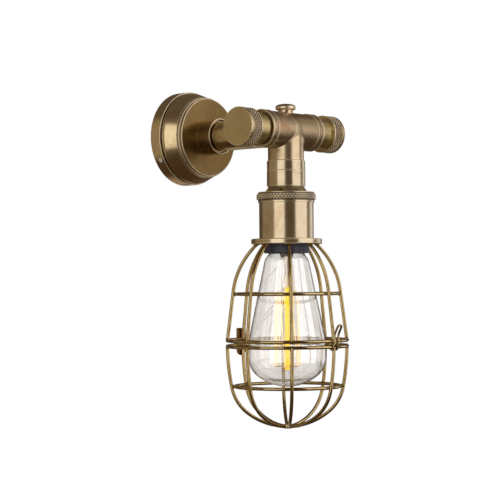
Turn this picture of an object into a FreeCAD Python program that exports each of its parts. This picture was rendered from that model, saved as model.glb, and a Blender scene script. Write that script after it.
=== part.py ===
import FreeCAD, Part
import math
import os

# Wall sconce: a stepped rose and a straight arm carry a cross bar with knurled end knobs, and below
# its middle hangs a lampholder with a wire cage whose lower half opens on a hinge at the wall side.
# Millimetres. The wall is the plane y = 0, the lamp stands out along -Y, and +Z is up. The origin
# is the middle of the wall plate's back face, on the arm's axis.

vector = FreeCAD.Vector

# Clearances
fit_gap = 0.05           # a turning or sliding fit, on the radius
weld_gap = 0.05          # between brazed wires, which only touch along a line
seat_gap = 0.1           # a piece laid in its seat
end_gap = 0.3            # at the end of a shaft or a screw
overrun = 2.0            # how far a cutter runs past what it cuts
least_run = 1e-6         # shorter edges than this are left out
arc_room_share = 0.48    # how much of an edge the rounding of one corner may use
small_edge = 0.4         # broken edges of turned brass
soft_edge = 0.8          # rounder edges of turned brass

# Rose, from the wall outwards
rose_r = 40.4
rose_wall = 1.3
rose_rim = 11.0
rose_groove = 1.4
rose_groove_step = 2.0
rose_band = 11.1
rose_band_step = 1.1
rose_band_round = 5.0
rose_shoulder = 4.7
rose_shoulder_draw = 4.9
rose_lip = 2.3
rose_lip_step = 0.9

# Wall plate and what is on it
plate_gap = 1.1
plate_thickness = 1.6
plate_rim_gap = 0.7
cable_hole_r = 6.0
wall_slot_spacing = 50.0
wall_slot_r = 2.3
wall_slot_length = 9.0
grub_count = 3
grub_first_angle = 90.0
grub_r = 1.5
grub_length = 5.0
grub_edge = 2.8
grub_socket = 1.5
grub_socket_depth = 1.6
terminal_width = 20.0
terminal_height = 13.0
terminal_thickness = 9.0
terminal_drop = 17.0
terminal_bore_depth = 6.0
terminal_screw_r = 1.8
earth_height = 22.0
earth_shank_r = 2.0
earth_head_r = 3.8
earth_head = 2.2

# Arm
arm_reach = 118.0
arm_r = 12.7
arm_wall = 1.5
spigot_step = 2.2
spigot_wall = 1.5
spigot_shoulder = 2.0
spigot_end = 0.8
lock_washer_edge = 6.0
lock_washer_thickness = 1.0
lock_nut_edge = 3.0
lock_nut_thickness = 4.0
collar_wall = 2.7
collar_length = 14.8
collar_lip = 1.1
collar_recess = 2.6

# Cross bar
bar_half_length = 59.0
neck_r = 13.0
neck_wall = 2.0
neck_inset = 11.0
tee_wall = 2.05
rim_end = 32.0
rim_length = 7.5
rim_lip = 1.3
rim_step = 0.6
rim_groove_depth = 0.35
rim_end_edge = 1.1
rim_recess = 2.2
knob_wall = 2.65
knob_length = 13.2
knob_land = 3.1
knob_lip = 0.9
knob_face = 2.7
knurl_depth = 0.2
boss_r = 6.3
boss_height = 2.0
screw_head_edge = 2.1
screw_head_height = 5.6
screw_dome = 3.9
screw_shank_r = 3.0
screw_shank_length = 7.0

# Branch, band and sleeve below the bar
branch_step = 0.2
branch_wall = 2.3
branch_length = 25.0
branch_web = 2.5
band_step = 0.9
band_length = 8.3
band_wall = 2.0
sleeve_step = 0.1
sleeve_length = 13.0
sleeve_wall = 2.0
nipple_r = 5.0
nipple_bore_r = 3.4
nipple_nut_edge = 2.0
nipple_nut_thickness = 3.5
nipple_end = 0.8

# Lampholder: the shell takes a standard 27 mm screw cap, and the rest follows outwards from it
shell_r = 13.4
shell_wall = 0.5
shell_length = 18.0
shell_top = 4.3
contact_r = 3.6
contact_bump_r = 2.2
contact_leaf = 0.5
socket_step = 1.9
skirt_wall = 1.05
holder_top_gap = 0.5
holder_base = 10.6
lead_hole_r = 3.0
cup_step = 5.55
cup_wall = 1.1
cup_length = 37.3
cup_lip = 1.2
cone_top_step = 1.1
cone_land = 0.6
cone_bottom_step = 4.8
cone_length = 4.7
cap_disc = 2.5
ring_wall = 0.7
ring_cover = 1.2
ring_shoulder = 1.1
ring_slope = 0.5
ring_step_out = 1.3
ring_band = 4.6
ring_lower_lip = 2.1
flange_step = 6.7
flange_thickness = 4.4
shade_ring_wall = 1.65
shade_ring_length = 7.5
shade_ring_lip = 0.8
shade_ring_overlap = 0.85

# Cage: heights are taken from the flange's underside down to the fixed cage's ring
wire_r = 1.45
rib_count = 8
rib_flange_edge = 4.8
rib_shoulder_depth = 38.5
rib_shoulder_step = 5.2
upper_ring_drop = 2.5
cage_ring_r = 49.4
lower_ring_depth = 79.2

# Basket: the half that opens, from its top ring down to its apex
basket_height = 66.3
basket_shoulder_rise = 32.2
basket_shoulder_step = 3.45
basket_haunch_rise = 11.45
basket_haunch_step = 16.15
basket_lower_ring_lift = 1.0
apex_r = 4.0
apex_thickness = 3.4
apex_edge = 1.2

# Hinge of the basket
hinge_pin_r = 1.0
hinge_pin_head_edge = 0.5
hinge_pin_head = 0.8
hinge_barrel_wall = 0.85
hinge_clear = 0.15
hinge_knuckle = 3.6
hinge_width = 10.4
hinge_leaf = 1.2
hinge_leaf_up = 11.8
hinge_leaf_down = 11.2
hinge_side_gap = 0.1

# Wire latch at the front, from its eyes round the basket's top ring up to its thumb loop
latch_wire_r = 0.7
latch_side_gap = 0.25
latch_eye_gap = 0.1
latch_bulge_out = 1.2
latch_bulge_rise = 3.2
latch_neck_rise = 4.2
latch_throat_out = 0.6
latch_throat_rise = 3.6
latch_tip_out = 5.0
latch_tip_rise = 6.4
latch_bend = 2.6
latch_curl = 5.0

# Bulb: a pear-shaped one, 64 mm wide and 140 mm long, with its sizes from the cap's rim or from below
bulb_r = 32.2
bulb_length = 140.0
bulb_haunch_r = 25.3
bulb_haunch_rise = 9.2
bulb_side_rise = 23.9
bulb_side_height = 13.4
bulb_side_round = 120.0
bulb_shoulder_r = 18.1
bulb_shoulder_drop = 8.8
bulb_shoulder_round = 9.0
bulb_throat_drop = 1.0
bulb_throat_round = 4.0
bulb_neck_length = 6.0
glass_wall = 0.9
thread_gap = 0.2
bulb_cap_wall = 0.4
bulb_cap_length = 23.5
bulb_cap_end_step = 2.2
bulb_cap_end = 1.5
insulator_height = 1.9
insulator_tip_r = 5.4
bulb_contact_r = 4.6
bulb_contact_height = 1.0
stem_r = 3.8
stem_foot_rise = 3.4
stem_neck_drop = 10.1
stem_end_drop = 32.1
stem_rod_r = 1.4
stem_rod_rise = 13.5
hook_count = 6
hook_wire_r = 0.3
hook_top_r = 9.0
hook_top_drop = 35.1
hook_bottom_r = 11.5
hook_bottom_rise = 16.5
filament_r = 0.25

# Leads inside the arm
lead_r = 1.0
lead_half_spacing = 1.4
lead_drop = 5.0
lead_wall_bend = 7.0
lead_arm_bend = 8.0
lead_inset = 4.0

# Directions
wall_out = vector(0, -1, 0)
up = vector(0, 0, 1)
down = vector(0, 0, -1)
right = vector(1, 0, 0)
centre = vector(0, 0, 0)
tee_centre = vector(0, -arm_reach, 0)

# Radii and depths from the wall that follow from the sizes above
rose_groove_r = rose_r - rose_groove_step
rose_band_r = rose_r - rose_band_step
rose_shoulder_r = rose_band_r - rose_shoulder_draw
rose_face_r = rose_shoulder_r - rose_lip_step
rose_band_depth = rose_rim + rose_groove + rose_band
rose_shoulder_depth = rose_band_depth + rose_shoulder
rose_depth = rose_shoulder_depth + rose_lip
plate_r = rose_r - rose_wall - plate_gap
plate_rim_depth = rose_rim - rose_wall - plate_rim_gap
grub_depth = plate_rim_depth - grub_edge
arm_bore_r = arm_r - arm_wall
spigot_r = arm_r - spigot_step
lock_nut_back = rose_depth - rose_wall - lock_washer_thickness - lock_nut_thickness
collar_r = arm_r + collar_wall

# Radii about the bar, and depths below its axis
tee_bore_r = neck_r + fit_gap
tee_r = tee_bore_r + tee_wall
rim_r = tee_r + rim_step
knob_r = tee_bore_r + knob_wall
knurl_r = knob_r - knurl_depth
boss_top = tee_r + boss_height
branch_r = tee_r - branch_step
branch_bore_r = branch_r - branch_wall
band_r = branch_r + band_step
sleeve_r = band_r + sleeve_step
band_bottom = branch_length + band_length
sleeve_bottom = band_bottom + sleeve_length
nipple_nut_top = branch_length - branch_web - nipple_nut_thickness
cone_bottom = sleeve_bottom + cone_length
cap_disc_top = cone_bottom + ring_cover
cap_disc_bottom = cap_disc_top + cap_disc
nipple_bottom = cap_disc_bottom + nipple_nut_thickness + nipple_end
holder_top = nipple_bottom + holder_top_gap
socket_floor = holder_top + holder_base
shell_bottom = socket_floor + shell_top + shell_length
cup_bottom = cap_disc_top + cup_length
flange_bottom = cup_bottom + flange_thickness
shade_ring_bottom = flange_bottom + shade_ring_length

# Radii of the lampholder, from the shell outwards
socket_bore_r = shell_r + shell_wall + seat_gap
skirt_bore_r = socket_bore_r + socket_step
skirt_r = skirt_bore_r + skirt_wall
clamp_hole_r = skirt_r + seat_gap
cup_r = skirt_r + cup_step
cup_bore_r = cup_r - cup_wall
cone_top_r = sleeve_r - cone_top_step
cone_bottom_r = cup_r - cone_bottom_step
ring_bore_r = cup_r + seat_gap
ring_shoulder_r = ring_bore_r + ring_wall
ring_r = ring_shoulder_r + ring_step_out
flange_r = cup_r + flange_step
shade_ring_r = clamp_hole_r + shade_ring_wall
shade_mouth_r = skirt_r - shade_ring_overlap

# The latch's eyes set the step between the cage's ring and the basket's
latch_eye_r = wire_r + latch_eye_gap + latch_wire_r
latch_neck = wire_r + latch_wire_r + end_gap
latch_half_width = wire_r + latch_wire_r + latch_side_gap
ring_step = latch_eye_r + latch_wire_r + end_gap + wire_r
rib_turn = 360.0 / rib_count
upper_ring_depth = rib_shoulder_depth + upper_ring_drop
basket_ring_depth = lower_ring_depth + ring_step
basket_depth = basket_ring_depth + basket_height
basket_lower_ring_depth = basket_depth - basket_shoulder_rise - basket_lower_ring_lift
hinge_depth = lower_ring_depth + ring_step / 2
hinge_bore_r = hinge_pin_r + fit_gap
hinge_barrel_r = hinge_bore_r + hinge_barrel_wall
leaf_inner = cage_ring_r + wire_r + weld_gap

# The bulb hangs in the socket
bulb_tip = socket_floor + 2 * contact_leaf + end_gap
bulb_cap_top = bulb_tip + bulb_contact_height + insulator_height
bulb_cap_rim = bulb_cap_top + bulb_cap_length
bulb_bottom = bulb_tip + bulb_length
bulb_cap_r = shell_r - thread_gap
bulb_cap_end_r = bulb_cap_r - bulb_cap_end_step
bulb_throat_r = bulb_cap_r - bulb_cap_wall - thread_gap


def rounded_edges(corners, closed):
    """Straight edges through (point, radius) corners, with an arc of that radius at each corner."""
    count = len(corners)
    first, last, arcs = [], [], []
    for i, (point, radius) in enumerate(corners):
        if radius == 0 or (not closed and i in (0, count - 1)):
            first.append(point)
            last.append(point)
            arcs.append(None)
            continue
        back = corners[i - 1][0] - point
        onward = corners[(i + 1) % count][0] - point
        half = back.getAngle(onward) / 2
        room = arc_room_share * min(back.Length, onward.Length)
        reach = min(radius / math.tan(half), room)
        back.normalize()
        onward.normalize()
        middle = back + onward
        middle.normalize()
        arc_r = reach * math.tan(half)
        first.append(point + back * reach)
        last.append(point + onward * reach)
        top = point + middle * (arc_r / math.sin(half) - arc_r)
        arcs.append(Part.Arc(first[i], top, last[i]).toShape())
    edges = []
    for i in range(count):
        if arcs[i]:
            edges.append(arcs[i])
        following = (i + 1) % count
        if following == 0 and not closed:
            break
        if (first[following] - last[i]).Length > least_run:
            edges.append(Part.LineSegment(last[i], first[following]).toShape())
    return edges


def tangent_arc(start, tangent, end):
    """The arc that leaves start along tangent and reaches end, and its direction there."""
    chord = end - start
    along = vector(chord)
    along.normalize()
    forward = vector(tangent)
    forward.normalize()
    angle = forward.getAngle(along)
    side = forward - along * forward.dot(along)
    side.normalize()
    rise = chord.Length / 2 * math.tan(angle / 2)
    edge = Part.Arc(start, start + chord / 2 + side * rise, end).toShape()
    return edge, along * (2 * forward.dot(along)) - forward


def placed(shape, base, axis):
    """Turns a shape made on +Z so that it stands on base along axis."""
    moved = shape.copy()
    moved.Placement = FreeCAD.Placement(base, FreeCAD.Rotation(up, axis))
    return moved


def turned(outline, base, axis):
    """A solid of revolution from (radius, height) or (radius, height, corner radius) points."""
    corners = [(vector(item[0], 0, item[1]), item[2] if len(item) > 2 else 0) for item in outline]
    face = Part.Face(Part.Wire(rounded_edges(corners, True)))
    return placed(face.revolve(centre, up, 360), base, axis)


def rod(radius, start, end):
    """A round bar from start to end."""
    run = end - start
    return Part.makeCylinder(radius, run.Length, start, run)


def swept(edges, radius):
    """A round wire along joined edges."""
    path = Part.Wire(edges)
    start = edges[0].valueAt(edges[0].FirstParameter)
    section = Part.Wire(Part.makeCircle(radius, start, edges[0].tangentAt(edges[0].FirstParameter)))
    return path.makePipeShell([section], True, False)


def hexagon(flats, thickness, base, axis):
    """A hexagonal prism of the given width across its flats."""
    corner_r = flats / math.sqrt(3)
    turns = [math.radians(60 * i) for i in range(7)]
    points = [vector(corner_r * math.cos(turn), corner_r * math.sin(turn), 0) for turn in turns]
    return placed(Part.Face(Part.makePolygon(points)).extrude(up * thickness), base, axis)


def slot(half_width, length, thickness):
    """A round-ended slot cutter along X, through the wall plate."""
    reach = length / 2 - half_width
    middle = Part.makeBox(2 * reach, thickness, 2 * half_width,
                          vector(-reach, -thickness / 2, -half_width))
    for end in (-reach, reach):
        middle = middle.fuse(rod(half_width, vector(end, -thickness / 2, 0), vector(end, thickness / 2, 0)))
    return middle.removeSplitter()


def round_about(shape, count, turn):
    """Copies of a shape, turned about the lamp's axis."""
    copies = []
    for i in range(count):
        copy = shape.copy()
        copy.rotate(centre, up, turn * i)
        copies.append(copy)
    return copies


def at_tee(shape):
    """Moves what was made about the tee's centre out to the end of the arm."""
    moved = shape.copy()
    moved.translate(tee_centre)
    return moved


def save(name, *shapes):
    """Writes one node: a solid, or a group of separate solids."""
    solids = [solid for shape in shapes for solid in shape.Solids]
    body = solids[0] if len(solids) == 1 else Part.makeCompound(solids)
    body.exportStep(os.path.join("parts", name + ".step"))


def grub_angles():
    return [grub_first_angle + 360.0 / grub_count * i for i in range(grub_count)]


def radial(angle, radius, depth):
    """A point at an angle round the arm's axis, at a depth from the wall."""
    turn = math.radians(angle)
    return vector(radius * math.cos(turn), -depth, radius * math.sin(turn))


def wall_rose():
    """The stepped cover: a wide rim, a groove, a band with a rounded shoulder and the flat face."""
    inner_band = rose_band_r - rose_wall
    inner_face = rose_face_r - rose_wall
    hole = spigot_r + seat_gap
    shell = turned([
        (rose_r - rose_wall, 0), (rose_r, 0), (rose_r, rose_rim, soft_edge),
        (rose_groove_r, rose_rim), (rose_groove_r, rose_rim + rose_groove),
        (rose_band_r, rose_rim + rose_groove, small_edge),
        (rose_band_r, rose_band_depth, rose_band_round), (rose_shoulder_r, rose_shoulder_depth),
        (rose_face_r, rose_shoulder_depth), (rose_face_r, rose_depth, soft_edge),
        (hole, rose_depth), (hole, rose_depth - rose_wall),
        (inner_face, rose_depth - rose_wall), (inner_band, rose_band_depth),
        (inner_band, rose_rim - rose_wall), (rose_r - rose_wall, rose_rim - rose_wall),
    ], centre, wall_out)
    for angle in grub_angles():
        shell = shell.cut(rod(grub_r + fit_gap, radial(angle, plate_r, grub_depth),
                              radial(angle, rose_r + overrun, grub_depth)))
    return shell


def rose_grub_screws():
    """Socket grub screws: threaded through the rose, their tips in the plate's rim."""
    screws = []
    outer = rose_r - seat_gap
    for angle in grub_angles():
        tip = radial(angle, outer - grub_length, grub_depth)
        head = radial(angle, outer, grub_depth)
        socket = hexagon(grub_socket, grub_socket_depth, head, tip - head)
        screws.append(rod(grub_r, tip, head).cut(socket))
    return screws


def wall_plate():
    """Dished steel plate: two slots for the wall screws, the cable hole and the rim the rose grips."""
    dish = turned([
        (cable_hole_r, 0), (plate_r, 0, soft_edge), (plate_r, plate_rim_depth),
        (plate_r - plate_thickness, plate_rim_depth),
        (plate_r - plate_thickness, plate_thickness), (cable_hole_r, plate_thickness),
    ], centre, wall_out)
    cutter = slot(wall_slot_r, wall_slot_length, plate_thickness + 2 * overrun)
    for side in (-1, 1):
        hole = cutter.copy()
        hole.translate(vector(side * wall_slot_spacing / 2, 0, 0))
        dish = dish.cut(hole)
    for angle in grub_angles():
        inside = radial(angle, plate_r - plate_thickness - overrun, grub_depth)
        outside = radial(angle, plate_r + overrun, grub_depth)
        dish = dish.cut(rod(grub_r + seat_gap, inside, outside))
    return dish.cut(rod(earth_shank_r + fit_gap, vector(0, overrun, earth_height),
                        vector(0, -plate_thickness - overrun, earth_height)))


def earth_screw():
    """Pan head screw for the earth lead, in the wall plate."""
    return turned([
        (0, 0), (earth_shank_r, 0), (earth_shank_r, plate_thickness), (earth_head_r, plate_thickness),
        (earth_head_r, plate_thickness + earth_head, soft_edge), (0, plate_thickness + earth_head),
    ], vector(0, 0, earth_height), wall_out)


def terminal_block():
    """Two-pole block on the plate, with a bore for each lead and a screw well for each pole."""
    front = plate_thickness + terminal_thickness
    block = Part.makeBox(terminal_width, terminal_thickness, terminal_height,
                         vector(-terminal_width / 2, -front, -terminal_drop - terminal_height))
    upright = [edge for edge in block.Edges if edge.BoundBox.YLength > terminal_screw_r]
    block = block.makeFillet(soft_edge, upright)
    middle = -plate_thickness - terminal_thickness / 2
    for side in (-1, 1):
        x = side * lead_half_spacing
        block = block.cut(rod(lead_r + seat_gap, vector(x, middle, -terminal_drop - terminal_bore_depth),
                              vector(x, middle, -terminal_drop + overrun)))
        well = side * terminal_width / 4
        height = -terminal_drop - terminal_height / 2
        block = block.cut(rod(terminal_screw_r, vector(well, middle, height),
                              vector(well, -front - overrun, height)))
    return block


def arm_tube():
    """Arm with a spigot into the rose at one end and a saddle on the tee at the other."""
    nut_side = lock_nut_back - spigot_end
    inner = spigot_r - spigot_wall
    tube = turned([
        (inner, nut_side), (spigot_r, nut_side), (spigot_r, rose_depth), (arm_r, rose_depth),
        (arm_r, arm_reach), (arm_bore_r, arm_reach),
        (arm_bore_r, rose_depth + spigot_shoulder), (inner, rose_depth + spigot_shoulder),
    ], centre, wall_out)
    bar = rod(tee_r, tee_centre - right * bar_half_length, tee_centre + right * bar_half_length)
    branch = rod(branch_r, tee_centre, tee_centre + down * branch_length)
    return tube.cut([bar, branch])


def arm_collar():
    """Sleeve on the arm that covers its shoulder on the rose, with a recess round the arm in front."""
    bore = arm_r + fit_gap
    front = rose_depth + collar_length
    return turned([
        (bore, rose_depth), (collar_r, rose_depth), (collar_r, front, small_edge),
        (collar_r - collar_lip, front), (collar_r - collar_lip, front - collar_recess),
        (bore, front - collar_recess),
    ], centre, wall_out)


def arm_lock_washer():
    back = rose_depth - rose_wall - lock_washer_thickness
    outer = spigot_r + lock_washer_edge
    return turned([
        (spigot_r + seat_gap, back), (outer, back),
        (outer, rose_depth - rose_wall), (spigot_r + seat_gap, rose_depth - rose_wall),
    ], centre, wall_out)


def arm_lock_nut():
    nut = hexagon(2 * (spigot_r + lock_nut_edge), lock_nut_thickness, wall_out * lock_nut_back, wall_out)
    return nut.cut(rod(spigot_r + fit_gap, centre, wall_out * rose_depth))


def tee_body():
    """Cast cross piece: a ribbed and recessed rim at each end, branch below, boss on top, all hollow."""
    rim_start = rim_end - rim_length
    groove_r = rim_r - rim_groove_depth
    recess_r = rim_r - rim_end_edge
    half = [
        (tee_r, rim_start), (rim_r, rim_start, small_edge), (rim_r, rim_start + rim_lip, small_edge),
        (groove_r, rim_start + rim_lip), (groove_r, rim_end - rim_lip),
        (rim_r, rim_end - rim_lip, small_edge), (rim_r, rim_end, small_edge), (recess_r, rim_end),
        (recess_r, rim_end - rim_recess), (tee_bore_r, rim_end - rim_recess),
    ]
    mirrored = [(item[0], -item[1]) + tuple(item[2:]) for item in reversed(half)]
    body = turned(half + mirrored, centre, right)
    branch = rod(branch_r, centre, down * branch_length)
    boss = turned([(0, 0), (boss_r, 0), (boss_r, boss_top, small_edge), (0, boss_top)], centre, up)
    body = body.fuse([branch, boss])
    body = body.cut(rod(tee_bore_r, right * -bar_half_length, right * bar_half_length))
    body = body.cut(rod(branch_bore_r, centre, down * (branch_length - branch_web)))
    body = body.cut(rod(nipple_r + fit_gap, centre, down * (branch_length + overrun)))
    body = body.cut(rod(arm_bore_r, centre, vector(0, tee_r + overrun, 0)))
    return body.cut(rod(screw_shank_r + fit_gap, centre, up * (boss_top + overrun)))


def neck(side):
    """Tube stub that joins the tee to a knob."""
    start = rim_end - neck_inset
    end = bar_half_length - knob_face - end_gap
    bore = neck_r - neck_wall
    return turned([(bore, start), (neck_r, start), (neck_r, end), (bore, end)], centre, right * side)


def knob(side):
    """End knob: a cap with a plain land, a band for the knurl and a lip, closed by a flat face."""
    start = bar_half_length - knob_length
    bore = neck_r + fit_gap
    return turned([
        (bore, start), (knob_r, start, small_edge), (knob_r, start + knob_lip),
        (knurl_r, start + knob_lip), (knurl_r, bar_half_length - knob_land),
        (knob_r, bar_half_length - knob_land), (knob_r, bar_half_length, small_edge),
        (0, bar_half_length), (0, bar_half_length - knob_face), (bore, bar_half_length - knob_face),
    ], centre, right * side)


def top_screw():
    """Screw with a low domed head on the tee's boss."""
    top = boss_top + screw_head_height
    side_top = top - screw_dome
    head_r = boss_r + screw_head_edge
    dome, unused = tangent_arc(vector(0, 0, top), right, vector(head_r, 0, side_top))
    rest = rounded_edges([
        (vector(head_r, 0, side_top), 0), (vector(head_r, 0, boss_top), soft_edge),
        (vector(screw_shank_r, 0, boss_top), 0),
        (vector(screw_shank_r, 0, boss_top - screw_shank_length), small_edge),
        (vector(0, 0, boss_top - screw_shank_length), 0),
        (vector(0, 0, top), 0),
    ], False)
    return Part.Face(Part.Wire([dome] + rest)).revolve(centre, up, 360)


def branch_band():
    """Turned band under the branch: a hollow ring with a web that the nipple passes through."""
    inner = band_r - band_wall
    return turned([
        (nipple_r + fit_gap, branch_length), (band_r, branch_length, small_edge),
        (band_r, band_bottom, small_edge), (inner, band_bottom),
        (inner, branch_length + band_wall), (nipple_r + fit_gap, branch_length + band_wall),
    ], centre, down)


def drop_sleeve():
    """Sleeve between the band and the lampholder's cone."""
    inner = sleeve_r - sleeve_wall
    return turned([
        (inner, band_bottom), (sleeve_r, band_bottom, small_edge), (sleeve_r, sleeve_bottom, small_edge),
        (nipple_r + fit_gap, sleeve_bottom), (nipple_r + fit_gap, sleeve_bottom - sleeve_wall),
        (inner, sleeve_bottom - sleeve_wall),
    ], centre, down)


def branch_nipple():
    """Hollow threaded rod that pulls the branch, band, sleeve and cone together."""
    top = nipple_nut_top - nipple_end
    return turned([
        (nipple_bore_r, top), (nipple_r, top), (nipple_r, nipple_bottom), (nipple_bore_r, nipple_bottom),
    ], centre, down)


def nipple_nuts():
    nuts = []
    for top in (nipple_nut_top, cap_disc_bottom):
        nut = hexagon(2 * (nipple_r + nipple_nut_edge), nipple_nut_thickness, down * top, down)
        nuts.append(nut.cut(rod(nipple_r + fit_gap, centre, down * holder_top)))
    return nuts


def holder_cap():
    """Cone over the lampholder, with the disc that the knurled ring pulls the cup against."""
    bore = nipple_r + fit_gap
    disc_r = cup_bore_r - seat_gap
    return turned([
        (bore, sleeve_bottom), (cone_top_r, sleeve_bottom), (cone_top_r, sleeve_bottom + cone_land),
        (cone_bottom_r, cone_bottom), (cone_bottom_r, cap_disc_top), (disc_r, cap_disc_top),
        (disc_r, cap_disc_bottom), (bore, cap_disc_bottom),
    ], centre, down)


def knurled_ring():
    """Ring over the top of the cup: plain shoulder, raised band for the knurl, plain lower lip."""
    mouth = cone_bottom_r + seat_gap
    band_top = cone_bottom + ring_shoulder + ring_slope
    lip_top = band_top + ring_band + ring_slope
    bottom = lip_top + ring_lower_lip
    return turned([
        (mouth, cone_bottom), (ring_shoulder_r, cone_bottom, small_edge),
        (ring_shoulder_r, cone_bottom + ring_shoulder), (ring_r, band_top),
        (ring_r, band_top + ring_band), (ring_shoulder_r, lip_top),
        (ring_shoulder_r, bottom, small_edge), (ring_bore_r, bottom),
        (ring_bore_r, cap_disc_top), (mouth, cap_disc_top),
    ], centre, down)


def holder_cup():
    """Plain spun cup with an inward lip that the cage's flange is clamped to."""
    lip = cup_bottom - cup_lip
    return turned([
        (cup_bore_r, cap_disc_top), (cup_r, cap_disc_top), (cup_r, cup_bottom, small_edge),
        (clamp_hole_r, cup_bottom), (clamp_hole_r, lip), (cup_bore_r, lip),
    ], centre, down)


def lampholder_body():
    """Moulded holder: body inside the cup, threaded skirt through the flange, bore for the shell."""
    outer = cup_bore_r - end_gap
    shoulder = cup_bottom - cup_lip
    skirt_end = shade_ring_bottom - shade_ring_lip
    socket_mouth = shell_bottom + end_gap
    return turned([
        (lead_hole_r, holder_top), (outer, holder_top), (outer, shoulder), (skirt_r, shoulder),
        (skirt_r, skirt_end), (skirt_bore_r, skirt_end), (skirt_bore_r, socket_mouth),
        (socket_bore_r, socket_mouth), (socket_bore_r, socket_floor), (lead_hole_r, socket_floor),
    ], centre, down)


def screw_shell():
    """Brass shell that the bulb's cap screws into."""
    outer = shell_r + shell_wall
    top = shell_bottom - shell_length
    return turned([
        (shell_r, top), (outer, top), (outer, shell_bottom), (shell_r, shell_bottom),
    ], centre, down)


def centre_contact():
    """Leaf on the socket's floor with a raised middle under the bulb's contact."""
    return turned([
        (0, socket_floor), (contact_r, socket_floor), (contact_r, socket_floor + contact_leaf),
        (contact_bump_r, socket_floor + contact_leaf), (contact_bump_r, socket_floor + 2 * contact_leaf),
        (0, socket_floor + 2 * contact_leaf),
    ], centre, down)


def shade_ring():
    """Black ring screwed on the holder's skirt, which clamps the cage's flange."""
    return turned([
        (clamp_hole_r, flange_bottom), (shade_ring_r, flange_bottom),
        (shade_ring_r, shade_ring_bottom, soft_edge), (shade_mouth_r, shade_ring_bottom),
        (shade_mouth_r, shade_ring_bottom - shade_ring_lip),
        (clamp_hole_r, shade_ring_bottom - shade_ring_lip),
    ], centre, down)


def cage_flange():
    """Thick ring that the cage's ribs are brazed to."""
    return turned([
        (clamp_hole_r, cup_bottom), (flange_r, cup_bottom, soft_edge),
        (flange_r, flange_bottom, soft_edge), (clamp_hole_r, flange_bottom),
    ], centre, down)


def cage_point(radius, depth):
    """A point in the plane of one rib, at a depth below the flange's underside."""
    return vector(radius, 0, -flange_bottom - depth)


def wire_ring(radius, depth):
    return Part.makeTorus(radius, wire_r, down * (flange_bottom + depth))


def cage_rib():
    """Rib of the fixed cage: straight up from the lower ring, then an arc in to the flange."""
    ring_end = cage_point(cage_ring_r, lower_ring_depth)
    shoulder = cage_point(cage_ring_r - rib_shoulder_step, rib_shoulder_depth)
    straight = Part.LineSegment(ring_end, shoulder).toShape()
    top = cage_point(flange_r - rib_flange_edge, 0)
    curve, heading = tangent_arc(shoulder, shoulder - ring_end, top)
    tail = Part.LineSegment(top, top + heading * (2 * wire_r)).toShape()
    rib = swept([straight, curve, tail], wire_r)
    plate = rod(flange_r, down * cone_bottom, down * flange_bottom)
    return rib.cut(plate).cut(wire_ring(cage_ring_r, lower_ring_depth))


def cage_upper_ring():
    """Ring brazed inside the straight stretch of the ribs."""
    lean = math.atan2(rib_shoulder_step, lower_ring_depth - rib_shoulder_depth)
    rib_line = cage_ring_r - rib_shoulder_step + upper_ring_drop * math.tan(lean)
    return wire_ring(rib_line - (2 * wire_r + weld_gap) / math.cos(lean), upper_ring_depth)


def basket_curves():
    """The basket rib's three arcs, tangent to each other, from the apex up to the basket's top ring."""
    apex = cage_point(0, basket_depth)
    haunch = cage_point(cage_ring_r - basket_haunch_step, basket_depth - basket_haunch_rise)
    shoulder = cage_point(cage_ring_r - basket_shoulder_step, basket_depth - basket_shoulder_rise)
    first, heading = tangent_arc(apex, right, haunch)
    second, heading = tangent_arc(haunch, heading, shoulder)
    third, heading = tangent_arc(shoulder, heading, cage_point(cage_ring_r, basket_ring_depth))
    return [first, second, third]


def basket_rib():
    rib = swept(basket_curves(), wire_r)
    return rib.cut(apex_stock()).cut(wire_ring(cage_ring_r, basket_ring_depth))


def apex_stock():
    top = flange_bottom + basket_depth - apex_thickness / 2
    return rod(apex_r, down * top, down * (top + apex_thickness))


def basket_apex():
    """Brazed button where the basket's ribs meet."""
    top = flange_bottom + basket_depth - apex_thickness / 2
    bottom = top + apex_thickness
    return turned([
        (0, top), (apex_r, top, small_edge), (apex_r, bottom, apex_edge), (0, bottom),
    ], centre, down)


def basket_lower_ring():
    """Ring brazed inside the basket's ribs, where their side starts to turn in."""
    side = basket_curves()[2].Curve
    drop = cage_point(0, basket_lower_ring_depth).z - side.Center.z
    across = math.sqrt(side.Radius ** 2 - drop ** 2)
    rib_line = side.Center.x + math.copysign(across, cage_ring_r - side.Center.x)
    return wire_ring(rib_line - 2 * wire_r - weld_gap, basket_lower_ring_depth)


def hinge_axis():
    """Where the hinge's pin lies: outside both rings and midway between them."""
    apart = wire_r + hinge_barrel_r + hinge_clear
    out = math.sqrt(apart ** 2 - (ring_step / 2) ** 2)
    return vector(0, cage_ring_r + out, -flange_bottom - hinge_depth)


def hinge_stretch(start, end, radius):
    """A round stretch along the hinge's pin, from one x to another."""
    axis = hinge_axis()
    return rod(radius, axis + right * start, axis + right * end)


def hinge_lower_leaf():
    """Leaf brazed to the basket: rounded end, one knuckle in the middle."""
    axis = hinge_axis()
    half = hinge_width / 2
    height = hinge_leaf_down - half
    leaf = Part.makeBox(hinge_width, hinge_leaf, height, vector(-half, leaf_inner, axis.z - height))
    leaf = leaf.fuse(rod(half, vector(0, leaf_inner, axis.z - height),
                         vector(0, leaf_inner + hinge_leaf, axis.z - height)))
    ends = hinge_barrel_r + hinge_clear
    for side in (-1, 1):
        start = side * hinge_knuckle / 2
        leaf = leaf.cut(hinge_stretch(start, side * hinge_width, ends))
    knuckle = hinge_stretch(-hinge_knuckle / 2, hinge_knuckle / 2, hinge_barrel_r)
    leaf = leaf.fuse(knuckle)
    return leaf.cut(hinge_stretch(-hinge_width, hinge_width, hinge_bore_r)).removeSplitter()


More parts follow.
